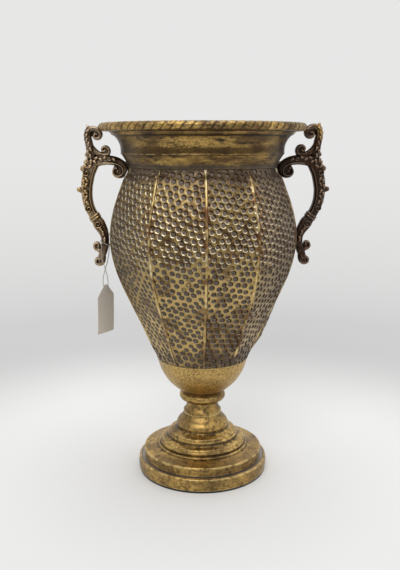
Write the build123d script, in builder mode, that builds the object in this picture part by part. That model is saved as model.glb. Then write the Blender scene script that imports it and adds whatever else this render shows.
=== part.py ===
"""Urn vase: hammered gored body on a turned pedestal, with two cast scroll handles and a hang tag.

Millimetres, +Z up, origin at the middle of the underside. The handles stand in the XZ plane.
"""

from build123d import *
import math
import os

os.makedirs("parts", exist_ok=True)

# Heights of the pieces, from the floor up
felt_thickness = 2.5
plinth_height = 18.0
foot_height = 65.5
stem_height = 19.0
collar_height = 14.0
cup_height = 48.0
body_height = 275.0
neck_height = 48.5

# Body gores: the profile's heights are shares of the body's height, and its radii shares of the belly's
gore_count = 10
panel_wall = 1.4
gore_flatness = 300.0
seam_gap = 0.1
rib_height = 1.2
rib_half_width = 1.8
gore_overhang = 0.5
belly_radius = 129.7
belly_rise_share = 0.68
taper_radius_share = 0.73
taper_rise_share = 0.2655
shoulder_radius_share = 0.9044
shoulder_rise_share = 0.8727
neck_joint_radius = 101.5

# Neck and rim
neck_wall = 2.0
neck_step = 2.5
neck_band_height = 10.0
ridge_step = 5.4
ridge_rise = 16.0
ridge_height = 4.0
lip_waist_share = 0.216
lip_waist_rise = 35.0
lip_ledge = 11.5
lip_radius = 138.5
lip_thickness = 2.2
rope_radius = 5.0
rope_inset = 1.0
rope_flat = 0.5

# Cup, collar and stem
cup_wall = 2.2
cup_floor = 4.0
cup_bottom_radius = 31.0
cup_bulge_radius = 52.0
cup_bulge_rise = 20.0
cup_rim_radius = 64.6
collar_radius = 33.4
stem_top_radius = 27.0
stem_waist_radius = 24.2
stem_foot_radius = 30.0

# Foot and plinth: the rings' and knop's levels are shares of the foot's height
foot_wall = 3.5
foot_roof = 12.0
knop_radius = 39.8
knop_rise_share = 0.7
knop_undercut = 1.2
knop_neck_drop = 3.0
knop_taper = 6.0
knop_height = 10.5
upper_ring_radius = 50.0
upper_ring_rise_share = 0.519
lower_ring_radius = 61.0
lower_ring_rise_share = 0.3435
ring_round = 3.5
ring_riser = 4.0
plate_inset = 8.5
plate_height = 13.0
plate_slope = 5.0
plate_dish = 1.0
edge_round = 3.0
plinth_radius = 94.5
plinth_barrel = 1.0
plinth_wall = 5.5
plinth_lip = 14.5
plinth_ledge = 5.0
clamp_thickness = 2.5
felt_inset = 1.5

# Joints between stacked pieces
spigot_depth = 10.0
foot_spigot_depth = 3.0
fit_gap = 0.3

# Tie rod and its fasteners
rod_radius = 4.0
rod_gap = 0.3
rod_end = 1.2
thread_gap = 0.05
nut_across_flats = 13.0
nut_height = 4.0
washer_radius = 10.0
washer_thickness = 1.6
seal_radius = 12.0
seal_thickness = 2.0

# Handles: gap to the vase, depths across the XZ plane and the ornaments' sizes
handle_gap = 0.25
belly_seat_drop = 4.0
neck_seat_rise = 6.0
band_depth = 16.0
scroll_depth = 13.0
collar_band_depth = 18.0
collar_band_length = 5.0
collar_band_width = 19.0
collar_band_tilt = 58.0
thorn_radius = 3.4
neck_pad_width = 9.0
neck_pad_height = 8.0

# Handle screws
screw_radius = 2.0
screw_grip = 6.0
screw_gap = 0.1
screw_head_radius = 3.8
screw_head_height = 2.6
screw_head_gap = 0.3

# Hang tag and its string
string_diameter = 1.0
string_gap = 0.3
string_drop = 70.5
hitch_slope = 3.25
hitch_corner = 1.5
tag_width = 35.0
tag_length = 70.0
tag_thickness = 0.8
tag_corner_width = 14.5
tag_corner_height = 16.0
tag_hole_radius = 1.1
tag_hole_drop = 10.5

# Levels, worked out from the heights
plinth_bottom = felt_thickness
plinth_top = plinth_bottom + plinth_height
foot_top = plinth_top + foot_height
stem_top = foot_top + stem_height
cup_bottom = stem_top + collar_height
body_bottom = cup_bottom + cup_height
body_top = body_bottom + body_height
lip_top = body_top + neck_height
rope_level = lip_top + rope_radius - rope_flat
belly_level = body_bottom + belly_rise_share * body_height
belly_seat_level = belly_level - belly_seat_drop
neck_seat_level = body_top + neck_seat_rise
clamp_top = plinth_top - plinth_ledge
clamp_bottom = clamp_top - clamp_thickness
cup_floor_top = cup_bottom + cup_floor

# Radii, worked out from the pieces they meet
cup_joint_radius = cup_rim_radius + gore_overhang
neck_radius = neck_joint_radius + neck_step
ridge_radius = neck_radius + ridge_step
lip_root_radius = lip_radius - lip_ledge
lip_waist_radius = ridge_radius + lip_waist_share * (lip_root_radius - ridge_radius)
rope_ring_radius = lip_radius - rope_inset
knop_neck_radius = knop_radius - knop_undercut
knop_top_radius = knop_radius - knop_taper
plate_radius = plinth_radius - plate_inset
plinth_bore_radius = plinth_radius - plinth_lip
clamp_radius = plinth_radius - plinth_wall
felt_radius = plinth_radius - felt_inset
rod_bore = rod_radius + rod_gap

# Profile of the body at the middle of a gore, from the cup up to the neck
body_profile = [
    (cup_joint_radius, body_bottom),
    (taper_radius_share * belly_radius, body_bottom + taper_rise_share * body_height),
    (belly_radius, belly_level),
    (shoulder_radius_share * belly_radius, body_bottom + shoulder_rise_share * body_height),
    (neck_joint_radius, body_top),
]

# Each gore is turned about an axis behind the vase's own, so it is flatter than a round body
half_gore = math.radians(180.0 / gore_count)
gore_axis = Axis((-gore_flatness, 0, 0), (0, 0, 1))
gore_plane = Plane(
    origin=(-gore_flatness, 0, 0),
    x_dir=(math.cos(half_gore), -math.sin(half_gore), 0),
    z_dir=(-math.sin(half_gore), -math.cos(half_gore), 0),
)


def body_band(inner_shift, outer_shift):
    """Face between the body profile moved out by two distances, where a gore's turn starts."""
    with BuildSketch(gore_plane) as band:
        with BuildLine():
            inner = Spline([(r + gore_flatness + inner_shift, z) for r, z in body_profile])
            outer = Spline([(r + gore_flatness + outer_shift, z) for r, z in body_profile])
            Line(inner @ 0, outer @ 0)
            Line(inner @ 1, outer @ 1)
        make_face()
    return band.sketch


def seam_plane(side, inset):
    """Plane of the gore's seam on its +Y or -Y side, moved into the gore by inset, facing out of it."""
    outward = Vector(-math.sin(half_gore), side * math.cos(half_gore), 0)
    along = (math.cos(half_gore), side * math.sin(half_gore), 0)
    return Plane(origin=outward * -inset, x_dir=along, z_dir=outward)


# Half of one raised seam, along the gore's edge
with BuildPart() as rib:
    revolve(
        body_band(-panel_wall / 2, rib_height),
        axis=gore_axis,
        revolution_arc=math.degrees(2 * half_gore),
    )
    split(bisect_by=seam_plane(1, seam_gap / 2), keep=Keep.BOTTOM)
    split(bisect_by=seam_plane(1, rib_half_width), keep=Keep.TOP)

# One gore with its two half seams
with BuildPart() as gore:
    revolve(
        body_band(-panel_wall, 0),
        axis=gore_axis,
        revolution_arc=math.degrees(2 * half_gore),
    )
    split(bisect_by=seam_plane(1, seam_gap / 2), keep=Keep.BOTTOM)
    split(bisect_by=seam_plane(-1, seam_gap / 2), keep=Keep.BOTTOM)
    add(rib.part)
    mirror(rib.part, about=Plane.XZ)

# Ten body panels, with a screw hole in the two that face a handle
screw_hole_radius = screw_radius + screw_gap
for index in range(gore_count):
    with BuildPart() as body_panel:
        with PolarLocations(0, 1, start_angle=index * 360.0 / gore_count):
            add(gore.part)
        if index in (0, gore_count // 2):
            with BuildSketch(Plane.YZ):
                with Locations((0, belly_seat_level)):
                    Circle(screw_hole_radius)
            extrude(amount=2 * belly_radius, both=True, mode=Mode.SUBTRACT)
    body_panel.part.label = f"body_panel_{index + 1:02d}"
    export_step(body_panel.part, f"parts/{body_panel.part.label}.step")

# Neck: inner spigot, plain band, step ridge, cavetto and lip
neck_spigot_radius = neck_joint_radius - panel_wall - fit_gap
ridge_bottom = body_top + ridge_rise
ridge_top = ridge_bottom + ridge_height
lip_bottom = lip_top - lip_thickness
with BuildPart() as neck:
    with BuildSketch(Plane.XZ):
        with BuildLine():
            Polyline(
                (neck_spigot_radius - neck_wall, body_top - spigot_depth),
                (neck_spigot_radius, body_top - spigot_depth),
                (neck_spigot_radius, body_top),
                (neck_radius, body_top),
                (neck_radius, body_top + neck_band_height),
                (ridge_radius - neck_wall, ridge_bottom),
                (ridge_radius, ridge_bottom),
                (ridge_radius, ridge_top),
            )
            ThreePointArc(
                (ridge_radius, ridge_top),
                (lip_waist_radius, body_top + lip_waist_rise),
                (lip_root_radius, lip_bottom),
            )
            Polyline(
                (lip_root_radius, lip_bottom),
                (lip_radius, lip_bottom),
                (lip_radius, lip_top),
                (lip_root_radius - neck_wall / 2, lip_top),
            )
            ThreePointArc(
                (lip_root_radius - neck_wall / 2, lip_top),
                (lip_waist_radius - neck_wall, body_top + lip_waist_rise + neck_wall / 2),
                (ridge_radius - neck_wall, ridge_top),
            )
            Polyline(
                (ridge_radius - neck_wall, ridge_top),
                (neck_radius - neck_wall, body_top + neck_band_height),
                (neck_radius - neck_wall, body_top + neck_wall),
                (neck_spigot_radius - neck_wall, body_top + neck_wall),
                (neck_spigot_radius - neck_wall, body_top - spigot_depth),
            )
        make_face()
    revolve(axis=Axis.Z)
    with BuildSketch(Plane.YZ):
        with Locations((0, neck_seat_level)):
            Circle(screw_hole_radius)
    extrude(amount=2 * neck_radius, both=True, mode=Mode.SUBTRACT)
neck.part.label = "neck"
export_step(neck.part, "parts/neck.step")

# Rope rim: bead that sits on the lip by a narrow flat
with BuildPart() as rope_rim:
    with BuildSketch(Plane.XZ):
        with Locations((rope_ring_radius, rope_level)):
            Circle(rope_radius)
        with Locations((rope_ring_radius, lip_top)):
            Rectangle(
                2 * rope_radius,
                rope_radius,
                align=(Align.CENTER, Align.MAX),
                mode=Mode.SUBTRACT,
            )
    revolve(axis=Axis.Z)
rope_rim.part.label = "rope_rim"
export_step(rope_rim.part, "parts/rope_rim.step")

# Bottom cup: bowl with a flat bolted floor and a spigot inside the gores
cup_spigot_radius = cup_joint_radius - panel_wall - fit_gap
with BuildPart() as bottom_cup:
    with BuildSketch(Plane.XZ):
        with BuildLine():
            Line((rod_bore, cup_bottom), (cup_bottom_radius, cup_bottom))
            ThreePointArc(
                (cup_bottom_radius, cup_bottom),
                (cup_bulge_radius, cup_bottom + cup_bulge_rise),
                (cup_rim_radius, body_bottom),
            )
            Polyline(
                (cup_rim_radius, body_bottom),
                (cup_spigot_radius, body_bottom),
                (cup_spigot_radius, body_bottom + spigot_depth),
                (cup_spigot_radius - cup_wall, body_bottom + spigot_depth),
                (cup_spigot_radius - cup_wall, body_bottom),
            )
            ThreePointArc(
                (cup_spigot_radius - cup_wall, body_bottom),
                (cup_bulge_radius - cup_wall, cup_bottom + cup_bulge_rise + cup_wall / 2),
                (cup_bottom_radius, cup_floor_top),
            )
            Polyline(
                (cup_bottom_radius, cup_floor_top),
                (rod_bore, cup_floor_top),
                (rod_bore, cup_bottom),
            )
        make_face()
    revolve(axis=Axis.Z)
bottom_cup.part.label = "bottom_cup"
export_step(bottom_cup.part, "parts/bottom_cup.step")

# Collar ring: bead between the cup and the stem
with BuildPart() as collar_ring:
    with BuildSketch(Plane.XZ):
        with BuildLine():
            Line((rod_bore, stem_top), (stem_top_radius, stem_top))
            ThreePointArc(
                (stem_top_radius, stem_top),
                (collar_radius, (stem_top + cup_bottom) / 2),
                (cup_bottom_radius, cup_bottom),
            )
            Polyline(
                (cup_bottom_radius, cup_bottom),
                (rod_bore, cup_bottom),
                (rod_bore, stem_top),
            )
        make_face()
    revolve(axis=Axis.Z)
collar_ring.part.label = "collar_ring"
export_step(collar_ring.part, "parts/collar_ring.step")

# Stem: waisted turning
with BuildPart() as stem:
    with BuildSketch(Plane.XZ):
        with BuildLine():
            Line((rod_bore, foot_top), (stem_foot_radius, foot_top))
            ThreePointArc(
                (stem_foot_radius, foot_top),
                (stem_waist_radius, (foot_top + stem_top) / 2),
                (stem_top_radius, stem_top),
            )
            Polyline(
                (stem_top_radius, stem_top),
                (rod_bore, stem_top),
                (rod_bore, foot_top),
            )
        make_face()
    revolve(axis=Axis.Z)
stem.part.label = "stem"
export_step(stem.part, "parts/stem.step")

# Foot: knop, two rings and a sloping plate, hollow underneath, on a spigot in the plinth
foot_spigot_radius = plinth_bore_radius - fit_gap
plate_top = plinth_top + plate_height
lower_ring_level = plinth_top + lower_ring_rise_share * foot_height
upper_ring_level = plinth_top + upper_ring_rise_share * foot_height
knop_level = plinth_top + knop_rise_share * foot_height
foot_inside_top = foot_top - foot_roof
with BuildPart() as foot:
    with BuildSketch(Plane.XZ):
        with BuildLine():
            Polyline(
                (foot_spigot_radius - foot_wall, plinth_top - foot_spigot_depth),
                (foot_spigot_radius, plinth_top - foot_spigot_depth),
                (foot_spigot_radius, plinth_top),
                (plate_radius, plinth_top),
                (plate_radius, plate_top - edge_round),
            )
            RadiusArc(
                (plate_radius, plate_top - edge_round),
                (plate_radius - edge_round, plate_top),
                -edge_round,
            )
            SagittaArc(
                (plate_radius - edge_round, plate_top),
                (lower_ring_radius, plate_top + plate_slope),
                plate_dish,
            )
            Line(
                (lower_ring_radius, plate_top + plate_slope),
                (lower_ring_radius, lower_ring_level),
            )
            RadiusArc(
                (lower_ring_radius, lower_ring_level),
                (lower_ring_radius - ring_round, lower_ring_level + ring_round),
                -ring_round,
            )
            Polyline(
                (lower_ring_radius - ring_round, lower_ring_level + ring_round),
                (upper_ring_radius, upper_ring_level - ring_riser),
                (upper_ring_radius, upper_ring_level),
            )
            RadiusArc(
                (upper_ring_radius, upper_ring_level),
                (upper_ring_radius - ring_round, upper_ring_level + ring_round),
                -ring_round,
            )
            Line(
                (upper_ring_radius - ring_round, upper_ring_level + ring_round),
                (knop_neck_radius, knop_level - knop_neck_drop),
            )
            ThreePointArc(
                (knop_neck_radius, knop_level - knop_neck_drop),
                (knop_radius, knop_level),
                (knop_top_radius, knop_level + knop_height),
            )
            Polyline(
                (knop_top_radius, knop_level + knop_height),
                (stem_foot_radius, foot_top - edge_round),
                (stem_foot_radius, foot_top),
                (rod_bore, foot_top),
                (rod_bore, foot_inside_top),
                (knop_top_radius - 2 * foot_wall, foot_inside_top),
                (knop_neck_radius - foot_wall, knop_level - knop_neck_drop),
                (upper_ring_radius - foot_wall, upper_ring_level - foot_wall),
                (lower_ring_radius - foot_wall, lower_ring_level - foot_wall),
                (lower_ring_radius - foot_wall, plate_top),
                (foot_spigot_radius - foot_wall, plate_top - foot_wall),
                (foot_spigot_radius - foot_wall, plinth_top - foot_spigot_depth),
            )
        make_face()
    revolve(axis=Axis.Z)
foot.part.label = "foot"
export_step(foot.part, "parts/foot.step")

# Plinth: low drum with a ledge for the clamp plate
with BuildPart() as plinth:
    with BuildSketch(Plane.XZ):
        with BuildLine():
            Polyline(
                (clamp_radius, clamp_top),
                (clamp_radius, plinth_bottom),
                (plinth_radius - plinth_barrel, plinth_bottom),
            )
            ThreePointArc(
                (plinth_radius - plinth_barrel, plinth_bottom),
                (plinth_radius, (plinth_bottom + plinth_top) / 2),
                (plinth_radius - plinth_barrel, plinth_top - edge_round),
            )
            Polyline(
                (plinth_radius - plinth_barrel, plinth_top - edge_round),
                (plinth_radius - edge_round, plinth_top),
                (plinth_bore_radius, plinth_top),
                (plinth_bore_radius, clamp_top),
                (clamp_radius, clamp_top),
            )
        make_face()
    revolve(axis=Axis.Z)
plinth.part.label = "plinth"
export_step(plinth.part, "parts/plinth.step")

# Felt pad under the plinth
with BuildPart() as felt_pad:
    with BuildSketch():
        Circle(felt_radius)
    extrude(amount=felt_thickness)
felt_pad.part.label = "felt_pad"
export_step(felt_pad.part, "parts/felt_pad.step")

# Clamp plate inside the plinth
with BuildPart() as clamp_plate:
    with BuildSketch(Plane.XY.offset(clamp_bottom)):
        Circle(clamp_radius - fit_gap)
        Circle(rod_bore, mode=Mode.SUBTRACT)
    extrude(amount=clamp_thickness)
clamp_plate.part.label = "clamp_plate"
export_step(clamp_plate.part, "parts/clamp_plate.step")

# Washers and seal on the tie rod: bottom level, radius and thickness
bottom_washer_level = clamp_bottom - washer_thickness
top_washer_level = cup_floor_top + seal_thickness
rod_rings = {
    "bottom_washer": (bottom_washer_level, washer_radius, washer_thickness),
    "seal_washer": (cup_floor_top, seal_radius, seal_thickness),
    "top_washer": (top_washer_level, washer_radius, washer_thickness),
}
for name, (level, radius, thickness) in rod_rings.items():
    with BuildPart() as rod_ring:
        with BuildSketch(Plane.XY.offset(level)):
            Circle(radius)
            Circle(rod_bore, mode=Mode.SUBTRACT)
        extrude(amount=thickness)
    rod_ring.part.label = name
    export_step(rod_ring.part, f"parts/{name}.step")

# Nuts on the tie rod
bottom_nut_level = bottom_washer_level - nut_height
top_nut_level = top_washer_level + washer_thickness
for name, level in (("bottom_nut", bottom_nut_level), ("top_nut", top_nut_level)):
    with BuildPart() as nut:
        with BuildSketch(Plane.XY.offset(level)):
            RegularPolygon(nut_across_flats / 2, 6, major_radius=False)
            Circle(rod_radius + thread_gap, mode=Mode.SUBTRACT)
        extrude(amount=nut_height)
    nut.part.label = name
    export_step(nut.part, f"parts/{name}.step")

# Tie rod
rod_bottom = bottom_nut_level - rod_end
rod_top = top_nut_level + nut_height + rod_end
with BuildPart() as tie_rod:
    with BuildSketch(Plane.XY.offset(rod_bottom)):
        Circle(rod_radius)
    extrude(amount=rod_top - rod_bottom)
tie_rod.part.label = "tie_rod"
export_step(tie_rod.part, "parts/tie_rod.step")

# Space that the handles keep out of: the body, neck and rim with a gap all round
with BuildPart() as vase_space:
    with BuildSketch(Plane.XZ):
        with BuildLine():
            side = Spline([(r + handle_gap, z) for r, z in body_profile])
            Polyline(side @ 1, (0, body_top), (0, body_bottom), side @ 0)
        make_face()
        with BuildLine():
            Polyline(
                (0, body_top),
                (neck_radius + handle_gap, body_top),
                (neck_radius + handle_gap, body_top + neck_band_height),
                (ridge_radius + handle_gap, ridge_bottom),
                (ridge_radius + handle_gap, ridge_top),
                (lip_waist_radius + handle_gap, body_top + lip_waist_rise),
                (lip_root_radius, lip_bottom - handle_gap),
                (lip_radius + handle_gap, lip_bottom - handle_gap),
                (lip_radius + handle_gap, rope_level),
                (0, rope_level),
                (0, body_top),
            )
        make_face()
        with Locations((rope_ring_radius, rope_level)):
            Circle(rope_radius + handle_gap)
    revolve(axis=Axis.Z)


def measured_from(seat, shares):
    """Places from a seat, and a width or radius if one follows, given in percent of the handle's span."""
    percent = (neck_seat_level - belly_seat_level) / 100
    return [
        (seat[0] + percent * x, seat[1] + percent * z, *(percent * size for size in sizes))
        for x, z, *sizes in shares
    ]


def band_edges(stations):
    """Points along the two edges of a band whose middle runs through (x, z, width) stations."""
    middle = [Vector(x, z) for x, z, _ in stations]
    left, right = [], []
    for i, (x, z, width) in enumerate(stations):
        along = middle[min(i + 1, len(middle) - 1)] - middle[max(i - 1, 0)]
        across = Vector(-along.Y, along.X).normalized() * (width / 2)
        left.append(middle[i] + across)
        right.append(middle[i] - across)
    return left, right


# Where the right handle meets the vase, in X and Z
belly_seat = (belly_radius, belly_seat_level)
neck_seat = (neck_radius, neck_seat_level)
rim_seat = (rope_ring_radius + rope_radius, rope_level)

# Bands of the handle: the C strap with its leg, the arm to the neck, the top scroll and two small scrolls
leg = measured_from(
    belly_seat,
    [(15.1, -36.2, 9.2), (11.7, -29.1, 11.7), (8.8, -21.4, 11.2), (7.3, -13.3, 11.0)],
)
back = measured_from(
    belly_seat,
    [
        (6.5, -4.1, 12.7),
        (8.8, 3.1, 13.8),
        (13.5, 10.7, 15.3),
        (19.4, 18.9, 15.5),
        (25.5, 27.0, 14.8),
        (30.6, 36.7, 14.8),
        (33.8, 49.0, 14.5),
        (34.8, 62.2, 14.9),
    ],
) + measured_from(neck_seat, [(60.0, -24.5, 15.8), (57.7, -12.2, 16.8), (53.6, -1.5, 17.3)])
strap = leg + back
arm = measured_from(
    neck_seat,
    [(58.2, -2.0, 15.3), (43.9, 3.9, 15.8), (33.7, 5.3, 14.8), (23.5, 4.4, 14.3), (13.3, 0.5, 12.8)],
)
top_scroll = measured_from(neck_seat, [(54.1, 0.0, 14.3), (54.3, 12.2, 12.8)]) + measured_from(
    rim_seat,
    [(17.4, -22.4, 11.6), (19.1, -11.2, 10.2), (16.1, -2.0, 8.7), (9.2, 1.5, 7.1)],
)
arm_scroll = measured_from(neck_seat, [(48.0, 9.2, 9.2), (40.8, 10.6, 7.7), (35.2, 12.8, 6.1)])
leg_scroll = measured_from(belly_seat, [(9.2, -23.0, 7.1), (13.8, -22.2, 6.1), (17.9, -20.4, 5.1)])
bands = (strap, arm, top_scroll, arm_scroll, leg_scroll)

# Rolled ends of the scrolls, and a bead and leaf on the strap's back: x, z and radius
rolls = (
    measured_from(rim_seat, [(8.0, -7.3, 11.4)])
    + measured_from(neck_seat, [(13.3, -7.7, 12.9), (34.0, 17.3, 6.9), (58.8, 10.5, 3.7), (63.8, -9.2, 4.7)])
    + measured_from(belly_seat, [(17.8, -16.7, 5.8), (16.0, -39.8, 5.8)])
)
collar_band_place = measured_from(belly_seat, [(25.5, 27.0)])[0]
thorn_place = measured_from(belly_seat, [(44.1, 62.2)])[0]

# Right handle: one casting, cut to the vase where it sits
with BuildPart() as handle_right:
    with BuildSketch(Plane.XZ):
        for stations in bands:
            left_points, right_points = band_edges(stations)
            with BuildLine():
                left = Spline(left_points)
                right = Spline(right_points)
                Line(left @ 0, right @ 0)
                Line(left @ 1, right @ 1)
            make_face()
        with Locations((neck_radius + neck_pad_width / 2, neck_seat_level)):
            Rectangle(neck_pad_width, neck_pad_height)
    extrude(amount=band_depth / 2, both=True)
    with BuildSketch(Plane.XZ):
        for x, z, radius in rolls:
            with Locations((x, z)):
                Circle(radius)
    extrude(amount=scroll_depth / 2, both=True)
    with BuildSketch(Plane.XZ):
        with Locations(collar_band_place):
            Rectangle(collar_band_length, collar_band_width, rotation=collar_band_tilt)
    extrude(amount=collar_band_depth / 2, both=True)
    with Locations((thorn_place[0], 0, thorn_place[1])):
        Sphere(thorn_radius)
    add(vase_space.part, mode=Mode.SUBTRACT)
    with BuildSketch(Plane.YZ):
        with Locations((0, belly_seat_level)):
            Circle(screw_hole_radius)
    extrude(amount=belly_radius + screw_grip + screw_gap, mode=Mode.SUBTRACT)
    with BuildSketch(Plane.YZ):
        with Locations((0, neck_seat_level)):
            Circle(screw_hole_radius)
    extrude(amount=neck_radius + screw_grip + screw_gap, mode=Mode.SUBTRACT)
handle_right.part.label = "handle_right"
export_step(handle_right.part, "parts/handle_right.step")

# Left handle: the same casting, mirrored
with BuildPart() as handle_left:
    mirror(handle_right.part, about=Plane.YZ)
handle_left.part.label = "handle_left"
export_step(handle_left.part, "parts/handle_left.step")

# Handle screws: from inside the wall into each handle, two a side
screw_seats = (
    (belly_radius - panel_wall - screw_head_gap, belly_radius + screw_grip, belly_seat_level),
    (neck_radius - neck_wall - screw_head_gap, neck_radius + screw_grip, neck_seat_level),
)
with BuildPart() as handle_screws:
    for head_face, tip, level in screw_seats:
        with BuildSketch(Plane.YZ.offset(head_face)):
            with Locations((0, level)):
                Circle(screw_radius)
        extrude(amount=tip - head_face)
        with BuildSketch(Plane.YZ.offset(head_face)):
            with Locations((0, level)):
                Circle(screw_head_radius)
        extrude(amount=-screw_head_height)
    mirror(about=Plane.YZ)
handle_screws.part.label = "handle_screws"
export_step(handle_screws.part, "parts/handle_screws.step")

# Hitch: one turn of the string round the top of the left handle's leg
leg_x, leg_level, leg_width = leg[-1]
hitch_clearance = string_gap + string_diameter / 2
hitch_depth = band_depth / 2 + hitch_clearance
hitch_outer_x = -leg_x - leg_width / 2 - hitch_clearance
hitch_inner_x = -leg_x + leg_width / 2 + hitch_clearance
with BuildPart() as string_hitch:
    with BuildLine():
        turn = FilletPolyline(
            (hitch_outer_x, -hitch_depth, leg_level + hitch_slope),
            (hitch_inner_x, -hitch_depth, leg_level - hitch_slope),
            (hitch_inner_x, hitch_depth, leg_level - hitch_slope),
            (hitch_outer_x, hitch_depth, leg_level + hitch_slope),
            radius=hitch_corner,
            close=True,
        )
    with BuildSketch(Plane(origin=turn @ 0, z_dir=turn % 0)):
        Circle(string_diameter / 2)
    sweep()
string_hitch.part.label = "string_hitch"
export_step(string_hitch.part, "parts/string_hitch.step")

# Hanging string: down in front of the leg, through the tag's hole and up behind the leg
strand_depth = hitch_depth + string_diameter + string_gap


def hung_at(shares):
    """Places out from the leg and down, in percent of the drop, and behind it, in percent of the depth."""
    return [
        Vector(
            -leg_x - string_drop * out / 100,
            strand_depth * behind / 100,
            leg_level - string_drop * down / 100,
        )
        for out, behind, down in shares
    ]


front_strand = hung_at(
    [
        (6.4, -100.0, -2.8),
        (7.2, -98.0, 15.6),
        (5.4, -87.0, 35.5),
        (0.4, -68.0, 51.8),
        (-3.4, -40.0, 69.5),
        (-3.8, -26.0, 86.5),
        (-2.4, -19.4, 100.0),
    ]
)
back_strand = hung_at(
    [
        (5.5, 19.4, 100.0),
        (7.0, 26.0, 86.5),
        (6.7, 40.0, 69.5),
        (1.4, 68.0, 51.8),
        (-3.5, 87.0, 35.5),
        (-6.1, 98.0, 18.4),
        (-6.7, 100.0, 3.5),
    ]
)
arc_share = 0.45
route_points = front_strand + back_strand
route_radii = []
for before, corner, after in zip(route_points, route_points[1:], route_points[2:]):
    shorter_run = min((corner - before).length, (after - corner).length)
    half_turn = math.radians((corner - before).get_angle(after - corner)) / 2
    route_radii.append(arc_share * shorter_run / math.tan(half_turn))
with BuildPart() as tag_string:
    with BuildLine():
        hang = FilletPolyline(*route_points, radius=route_radii)
    with BuildSketch(Plane(origin=hang @ 0, z_dir=hang % 0)):
        Circle(string_diameter / 2)
    sweep()
tag_string.part.label = "tag_string"
export_step(tag_string.part, "parts/tag_string.step")
string_section = math.pi * string_diameter**2 / 4
print("string radii", [round(radius, 1) for radius in route_radii])
print("string length", round(hang.length, 1), "by volume", round(tag_string.part.volume / string_section, 1))

# Hang tag: plain card, square to the run of string through its punched hole
tag_hole_place = (front_strand[-1] + back_strand[0]) / 2
tag_facing = (front_strand[-1] - back_strand[0]).normalized()
print("tag hole", tag_hole_place, "facing", tag_facing)
tag_plane = Plane(origin=tag_hole_place, x_dir=(-tag_facing.Y, tag_facing.X, 0), z_dir=tag_facing)
with BuildPart() as hang_tag:
    with BuildSketch(tag_plane):
        with BuildLine():
            Polyline(
                (-tag_width / 2, tag_hole_drop - tag_length),
                (tag_width / 2, tag_hole_drop - tag_length),
                (tag_width / 2, tag_hole_drop - tag_corner_height),
                (tag_width / 2 - tag_corner_width, tag_hole_drop),
                (tag_corner_width - tag_width / 2, tag_hole_drop),
                (-tag_width / 2, tag_hole_drop - tag_corner_height),
                close=True,
            )
        make_face()
        Circle(tag_hole_radius, mode=Mode.SUBTRACT)
    extrude(amount=tag_thickness / 2, both=True)
hang_tag.part.label = "hang_tag"
export_step(hang_tag.part, "parts/hang_tag.step")
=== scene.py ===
"""Looks of the urn vase: hammered gores, rope-twist rim, turned pedestal, cast handles and a paper hang tag.

Metres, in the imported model's own frame. The handles stand in the XZ plane and the viewer is towards -Y.
"""

import math

import bmesh
import bpy
import numpy as np
from mathutils import Matrix, Vector


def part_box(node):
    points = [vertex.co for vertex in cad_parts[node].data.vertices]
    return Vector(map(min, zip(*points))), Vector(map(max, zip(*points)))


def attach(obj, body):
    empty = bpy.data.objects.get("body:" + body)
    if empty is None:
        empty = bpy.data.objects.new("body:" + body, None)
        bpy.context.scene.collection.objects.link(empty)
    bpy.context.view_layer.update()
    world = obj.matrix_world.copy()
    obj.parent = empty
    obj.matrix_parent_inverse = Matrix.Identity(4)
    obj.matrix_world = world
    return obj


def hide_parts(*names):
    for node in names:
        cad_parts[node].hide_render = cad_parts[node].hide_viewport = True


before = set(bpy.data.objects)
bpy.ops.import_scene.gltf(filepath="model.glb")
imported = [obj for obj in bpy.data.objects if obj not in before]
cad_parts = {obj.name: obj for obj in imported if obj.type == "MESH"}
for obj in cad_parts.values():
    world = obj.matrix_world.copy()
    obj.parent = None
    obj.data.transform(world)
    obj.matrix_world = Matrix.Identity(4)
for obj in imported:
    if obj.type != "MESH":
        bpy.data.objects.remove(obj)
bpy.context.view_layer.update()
scene = bpy.context.scene
MM = 0.001

# Vase sizes that the pieces share, in millimetres
GORE_COUNT = 10
GORE_FLATNESS = 300.0
PANEL_WALL = 1.4
RIM_RADIUS = 136.8
RIM_LEVEL = 495.5
LIP_TOP = 490.5


# Node helpers


class Value:
    """Output of a node that can be reckoned with: each sign adds a math node to its tree."""

    def __init__(self, socket):
        self.socket = socket

    def __add__(self, other):
        return calc("ADD", self, other)

    def __radd__(self, other):
        return calc("ADD", other, self)

    def __sub__(self, other):
        return calc("SUBTRACT", self, other)

    def __rsub__(self, other):
        return calc("SUBTRACT", other, self)

    def __mul__(self, other):
        return calc("MULTIPLY", self, other)

    def __truediv__(self, other):
        return calc("DIVIDE", self, other)

    def __rtruediv__(self, other):
        return calc("DIVIDE", other, self)

    def __pow__(self, other):
        return calc("POWER", self, other)

    def __abs__(self):
        return calc("ABSOLUTE", self)


def feed(made, inputs):
    """Gives a node its inputs, as plain settings or as values to link from."""
    for key, value in inputs.items():
        if isinstance(value, Value):
            made.id_data.links.new(value.socket, made.inputs[key])
        else:
            made.inputs[key].default_value = value


def add_node(tree, kind, inputs=None, **settings):
    """A node with its settings and its inputs."""
    made = tree.nodes.new(kind)
    for key, value in settings.items():
        setattr(made, key, value)
    feed(made, inputs or {})
    return made


def begin(tree, kind, key=0, inputs=None, **settings):
    """Value from a new node."""
    return Value(add_node(tree, kind, inputs, **settings).outputs[key])


def derive(kind, inputs, key=0, **settings):
    """Value from a new node in the tree that its inputs come from."""
    tree = next(value.socket.id_data for value in inputs.values() if isinstance(value, Value))
    return begin(tree, kind, key, inputs, **settings)


def calc(operation, *values):
    """Result of a math node."""
    return derive("ShaderNodeMath", dict(enumerate(values)), operation=operation)


def vector_calc(operation, *values):
    """Result of a vector math node."""
    key = "Value" if operation in ("LENGTH", "DOT_PRODUCT") else "Vector"
    return derive("ShaderNodeVectorMath", dict(enumerate(values)), key, operation=operation)


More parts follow.
